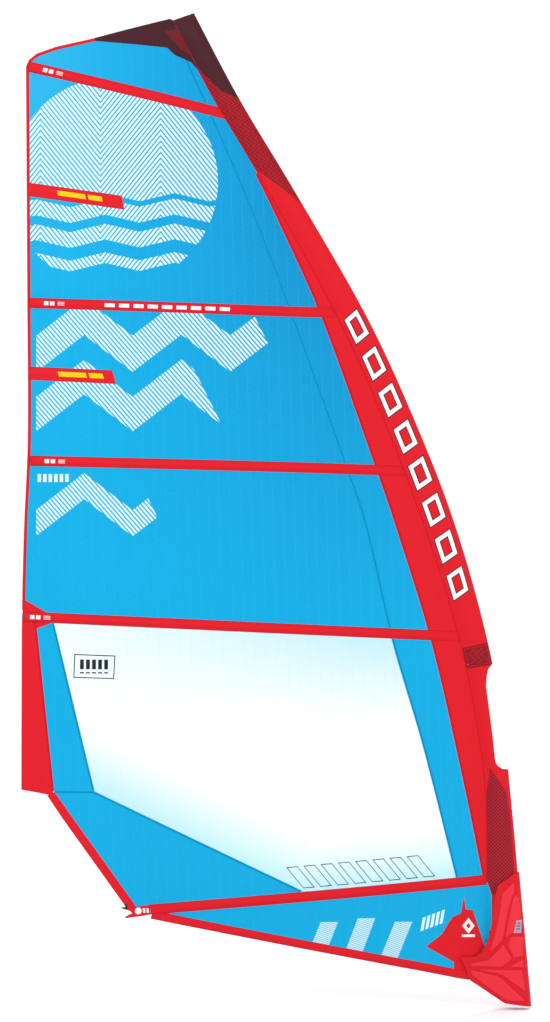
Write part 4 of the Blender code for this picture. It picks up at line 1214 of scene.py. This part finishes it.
blue_seam = seam_cloth("blue_seam", BLUE, SEAM_BLUE)
red_seam = seam_cloth("red_seam", RED, DARK_RED)
sleeve_seam_look = seam_cloth("red_sleeve_seam", RED, DARK_RED, head_fade)
SEAMS = (
    ("luff_panel_seam_head", luff_panel_seam,
     (meeting(luff_panel_seam, above[0])[1], 4.088), blue_seam, "blue_film"),
    ("luff_panel_seam_upper", luff_panel_seam, (back_low[1], back_high[1]), blue_seam, "blue_film"),
    ("luff_panel_seam_middle", luff_panel_seam,
     (meeting(luff_panel_seam, above[2])[1], meeting(luff_panel_seam, below[1])[1]), blue_seam, "blue_film"),
    ("luff_panel_seam_lower", luff_panel_seam,
     (meeting(luff_panel_seam, above[3])[1], meeting(luff_panel_seam, below[2])[1]), blue_seam, "blue_film"),
    ("luff_panel_seam_window", luff_panel_seam, (foot_front[1], top_right[1]), blue_seam, "blue_film"),
    ("band_seam_sewn", band_seam, (meeting(band_seam, above[4])[1], 3.598), red_seam, "red_cloth"),
    ("sleeve_seam_sewn", sleeve_seam, (foot_top[1], 4.255), sleeve_seam_look, "red_cloth"),
    ("strip_back_seam", strip_back, (0.934, meeting(strip_back, below[3])[1]), red_seam, "red_cloth"),
    ("strip_front_seam", strip_front, (0.934, meeting(strip_front, below[3])[1]), blue_seam, "blue_film"),
)
for name, seam, ends, look, slot in SEAMS:
    sweep(name, on_seam(seam, ends), flat_section(SEAM_TAPE, SEAM_HALF * 1.15), look)
sweep("window_foot_seam", [WINDOW_CLEW, WINDOW_FOOT], flat_section(SEAM_TAPE), blue_seam)
sweep("clew_top_seam", [(-2.021, 0.930), WINDOW_CLEW], flat_section(SEAM_TAPE), blue_seam)

# --------------------------------------------------------------------------------------- batten pockets

pocket_look = tape_cloth("red_batten_pocket", POCKET_HALF, extra=pocket_label)
long_label_look = tape_cloth("red_batten_pocket_marks", POCKET_HALF, extra=pocket_row)
plain_pocket_look = tape_cloth("red_batten_pocket_plain", POCKET_HALF)
near_label_look = tape_cloth("red_batten_pocket_near", POCKET_HALF, extra=near_label)
pocket_looks = (pocket_look, long_label_look, pocket_look, near_label_look, plain_pocket_look)
for number, (seam, first, look) in enumerate(zip(batten_lines, BATTEN_STARTS, pocket_looks), 1):
    x, z = meeting(sleeve_seam, seam)
    heading = Vector((0.04, seam.at(x) - seam.at(x - 0.04))).normalized()
    upward = Vector((sleeve_seam.at(z + 0.02) - sleeve_seam.at(z - 0.02), 0.04)).normalized()
    slant = upward.dot(heading) / upward.dot(Vector((-heading.y, heading.x)))
    path = on_line(seam, (first + (0.004 if number == 4 else -0.0045), x - 0.004))
    outer = pocket_section(POCKET_HALF, *ROD_TUNNEL, fade=POCKET_FADE)
    hollow = pocket_section(POCKET_HALF, *ROD_TUNNEL, wall=0.0009, fade=POCKET_FADE)
    sweep(f"batten_pocket_cloth_{number}", path, outer, look,
          (f"batten_pocket_{number}",), hollow, lean=slant)

mini_look = tape_cloth("red_mini_pocket", MINI_HALF, extra=mini_marks)
for name, (first, last) in zip(("upper", "lower"), MINI_LINES):
    outer = pocket_section(MINI_HALF, *MINI_TUNNEL, fade=MINI_FADE)
    path = [(first[0] + 0.004, first[1]), last]
    sweep(f"mini_pocket_cloth_{name}", path, outer, mini_look, (f"mini_batten_{name}_pocket",),
          lean=-0.35)

# The flare that ties the boom's batten into the leech
flare = [(-2.160, 1.634), (-2.100, 1.634), (-2.036, 1.657), (-2.048, 1.702), (-2.143, 1.756), (-2.156, 1.752)]
cloth("leech_flare", flare, plain_red, half=SEAM_HALF * 1.1, spacing=SMALL_GRID)

# --------------------------------------------------------------------------------------------- mast sleeve


def level(z):
    return (leading_edge.at(z), z), (sleeve_seam.at(z), z)


stations = [((lower_nose.at(z), z), (sleeve_seam.at(z), z))
            for z in spaced(SLEEVE_FOOT, CUTOUT_LOW, SLEEVE_STEP)]
sleeve_tube("sleeve_lower_cloth", stations, lower_sleeve_red, "sleeve_lower")
stations = [level(z) for z in spaced(CUTOUT_HIGH, SLEEVE_JOIN, SLEEVE_STEP)]
sleeve_tube("sleeve_middle_cloth", stations, sleeve_red, "sleeve_middle")
stations = [level(z) for z in spaced(SLEEVE_JOIN, 4.16, SLEEVE_STEP)]
head_front, head_tail = (leading_edge.at(4.293), 4.293), (sleeve_seam.at(4.262), 4.262)
last = stations[-1]
for step in range(1, 9):
    share = step / 8
    front = tuple(a + (b - a) * share for a, b in zip(last[0], head_front))
    tail = tuple(a + (b - a) * share for a, b in zip(last[1], head_tail))
    stations.append((front, tail))


def closing(z):
    """How the sleeve flattens as it is sewn shut at the head."""
    return 1.0 - 0.86 * min(max((z - 4.19) / 0.10, 0.0), 1.0) ** 1.5


sleeve_tube("sleeve_upper_cloth", stations, sleeve_red, "sleeve_upper", closing)

# In the boom cut-out only the rear part of the sleeve is left, with a hemmed edge
cut_edge = straight(BOOM_CUTOUT)
outer = []
run = []
for z in spaced(BOOM_CUTOUT[0][0] + 0.0005, BOOM_CUTOUT[-1][0] - 0.0005, 0.010):
    front, tail = leading_edge.at(z), sleeve_seam.at(z)
    chord, half = front - tail, sleeve_half(z)
    first = (front - cut_edge.at(z)) / chord
    shares = [first + (1 - first) * i / 14 for i in range(15)]
    sides = [(share, front - share * chord, max(2.6 * math.sqrt(share) * (1 - share) * half, SEAM_HALF))
             for share in shares]
    near = [(x, -wide, z) for _, x, wide in sides]
    far = [(x, wide, z) for _, x, wide in sides[::-1]]
    inside_far = [(x - 0.0002, max(wide - SLEEVE_CLOTH, 0.0003), z) for _, x, wide in sides[:14]]
    inside_far += [(tail + 0.004, 0.0003, z)]
    inside_near = [(x, -wide, z) for x, wide, _ in inside_far[::-1]]
    outer.append(near + far + inside_far + inside_near)
    run.append([(z, 0.5, 0.0)] * len(outer[-1]))
thing = add("sleeve_cutout_cloth", skin(outer), label_red, ("sleeve_boom_cutout",),
            run=[row for ring in run for row in ring])
cutout_length = BOOM_CUTOUT[-1][0] - BOOM_CUTOUT[0][0]
stretched(thing, CUTOUT_WIDTH, cutout_length, CUTOUT_MEAN_WIDTH * cutout_length)

# ---------------------------------------------------------------------------------- padded tack fairing


def segment_distance(point, start, end):
    run = end - start
    share = min(max((point - start).dot(run) / run.length_squared, 0.0), 1.0)
    return (point - start - run * share).length


def inside_outline(point, outline):
    found = False
    for index, corner in enumerate(outline):
        before = outline[index - 1]
        if (corner.y > point.y) != (before.y > point.y):
            if point.x < (before.x - corner.x) * (point.y - corner.y) / (before.y - corner.y) + corner.x:
                found = not found
    return found


pad_outlines = [[Vector(corner) for corner in pad] for pad in PADS]


def pad_rise(x, z):
    """From 0 in a sewn channel to 1 on the crown of a pad."""
    point = Vector((x, z))
    for pad in pad_outlines:
        if inside_outline(point, pad):
            edge = min(segment_distance(point, pad[i - 1], pad[i]) for i in range(len(pad)))
            share = min(edge / PAD_EDGE, 1.0)
            return share * (2 - share)
    return 0.0


def fairing(name, side, node, body, material):
    """One half of the fairing: a padded shell, thin at its rim, with raised pads and sewn channels."""
    nose = [(fairing_nose.at(z), z) for z in spaced(0.004, 0.584, 0.012)]
    outline = [*FAIRING_OUTLINE, *nose]
    flat = flat_mesh(outline, PAD_GRID)
    rim = [Vector(point) for point in outline]
    solid = bmesh.new()
    outside = []
    inside = []
    run = []
    for vert in flat.verts:
        x, z = vert.co.x, vert.co.z
        half = fairing_half.at(max(fairing_nose.at(z) - x, 0.0))
        edge = min(segment_distance(Vector((x, z)), rim[i - 1], rim[i]) for i in range(len(rim)))
        behind = fairing_nose.at(z) - x
        hem = min(edge / 0.012, 1.0) if behind > 0.02 else 1.0
        rise = pad_rise(x, z)
        wide = half - 0.0016 * (1 - hem) - 0.0008 * (1 - rise) * hem
        wide += PAD_RISE * rise * min(behind / 0.03, 1.0)
        y = belly(x, z)
        outside.append(solid.verts.new((x, y + side * wide, z)))
        inside.append(solid.verts.new((x, y + side * max(half - FAIRING_PAD, 0.0004), z)))
        run.append(rise)
    for face in flat.faces:
        ids = [vert.index for vert in face.verts]
        solid.faces.new([outside[i] for i in ids])
        solid.faces.new([inside[i] for i in reversed(ids)])
    for edge in flat.edges:
        if edge.is_boundary:
            a, b = [vert.index for vert in edge.verts]
            solid.faces.new((outside[a], outside[b], inside[b], inside[a]))
    flat.free()
    numbers = []
    for rise in run:
        numbers += [(rise, 0.0, 0.0), (0.0, 0.0, 0.0)]
    thing = add(name, solid, material, (node,), body, run=numbers)
    return thing


padded = fairing_cloth()
fairing("tack_fairing_flap_cloth", -1, "tack_fairing_flap", "fairing_flap", padded)
fairing("tack_fairing_back_cloth", 1, "tack_fairing_back", "sail", padded)

# ----------------------------------------------------------------------------------------- hard parts

LOOKS = {
    "steel": hard("brushed_steel", (0.72, 0.72, 0.74, 1.0), 0.26, 1.0, 0.00006, 900, (1, 12, 1)),
    "plastic": hard("moulded_plastic", (0.030, 0.030, 0.034, 1.0), 0.46, 0.0, 0.00012, 1400),
    "fibre": hard("drawn_fibre", (0.060, 0.058, 0.055, 1.0), 0.38, 0.0, 0.00010, 260, (0.06, 1, 1)),
    "webbing": hard("woven_webbing", (0.09, 0.09, 0.10, 1.0), 0.85, 0.0, 0.0003, 1100, (1, 1, 0.4)),
}
HARD_NODES = {
    "steel": ["clew_eyelet", "pulley_block", *[f"tensioner_screw_{i}" for i in range(1, 6)]],
    "plastic": ["mast_tip_cup", *[f"sheave_{i}" for i in range(1, 4)],
                *[f"tensioner_housing_{i}" for i in range(1, 6)]],
    "fibre": ["mini_batten_upper", "mini_batten_lower", *[f"batten_{i}" for i in range(1, 6)]],
    "webbing": ["tack_strap"],
}
for kind, names in HARD_NODES.items():
    for name in names:
        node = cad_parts[name]
        if not node.material_slots:
            node.data.materials.append(None)
        for entry in node.material_slots:
            entry.link = "OBJECT"
            entry.material = LOOKS[kind]

# ---------------------------------------------------------------------------------- floor, light, camera

low, high = Vector(cad_bounds[0]), Vector(cad_bounds[1])
middle = (low + high) / 2
FLOOR_DROP = 0.012
FLOOR_HALF = 60.0

ground = bmesh.new()
bmesh.ops.create_grid(ground, x_segments=24, y_segments=24, size=FLOOR_HALF)
data = bpy.data.meshes.new("studio_floor")
ground.to_mesh(data)
ground.free()
floor = bpy.data.objects.new("studio_floor", data)
floor.location = (0, 0, low.z - FLOOR_DROP)
bpy.context.collection.objects.link(floor)
look = Look("pale_floor", 0.9)
look.paint((0.93, 0.93, 0.935, 1.0))
look.paint((0.90, 0.90, 0.91, 1.0), look.noise(1.5, 3) * 0.3)
data.materials.append(look.done())

world = bpy.data.worlds.new("studio")
world.use_nodes = True
world.node_tree.nodes["Background"].inputs["Color"].default_value = (1.0, 1.0, 1.0, 1.0)
world.node_tree.nodes["Background"].inputs["Strength"].default_value = WORLD_STRENGTH
bpy.context.scene.world = world
bpy.context.scene.view_settings.view_transform = "Standard"


def soft_light(name, place, size, power):
    data = bpy.data.lights.new(name, "AREA")
    data.shape = "SQUARE"
    data.size = size
    data.energy = power
    lamp = bpy.data.objects.new(name, data)
    lamp.location = place
    lamp.rotation_euler = (middle - Vector(place)).to_track_quat("-Z", "Y").to_euler()
    bpy.context.collection.objects.link(lamp)


for light in LIGHTS:
    soft_light(*light)

# The frame is 550 by 1022, and holds the whole sail with a narrow margin
FRAME_HEIGHT = 4.415
FRAME_CENTRE = (-1.067, 2.1425)
LENS = 100.0
SENSOR = 36.0
distance = FRAME_HEIGHT * LENS / SENSOR
camera_data = bpy.data.cameras.new("camera")
camera_data.sensor_fit = "VERTICAL"
camera_data.sensor_height = SENSOR
camera_data.lens = LENS
camera_data.clip_end = 200.0
camera = bpy.data.objects.new("camera", camera_data)
camera.location = (FRAME_CENTRE[0], -distance, FRAME_CENTRE[1])
camera.rotation_euler = (math.radians(90), 0, 0)
bpy.context.collection.objects.link(camera)
bpy.context.scene.camera = camera
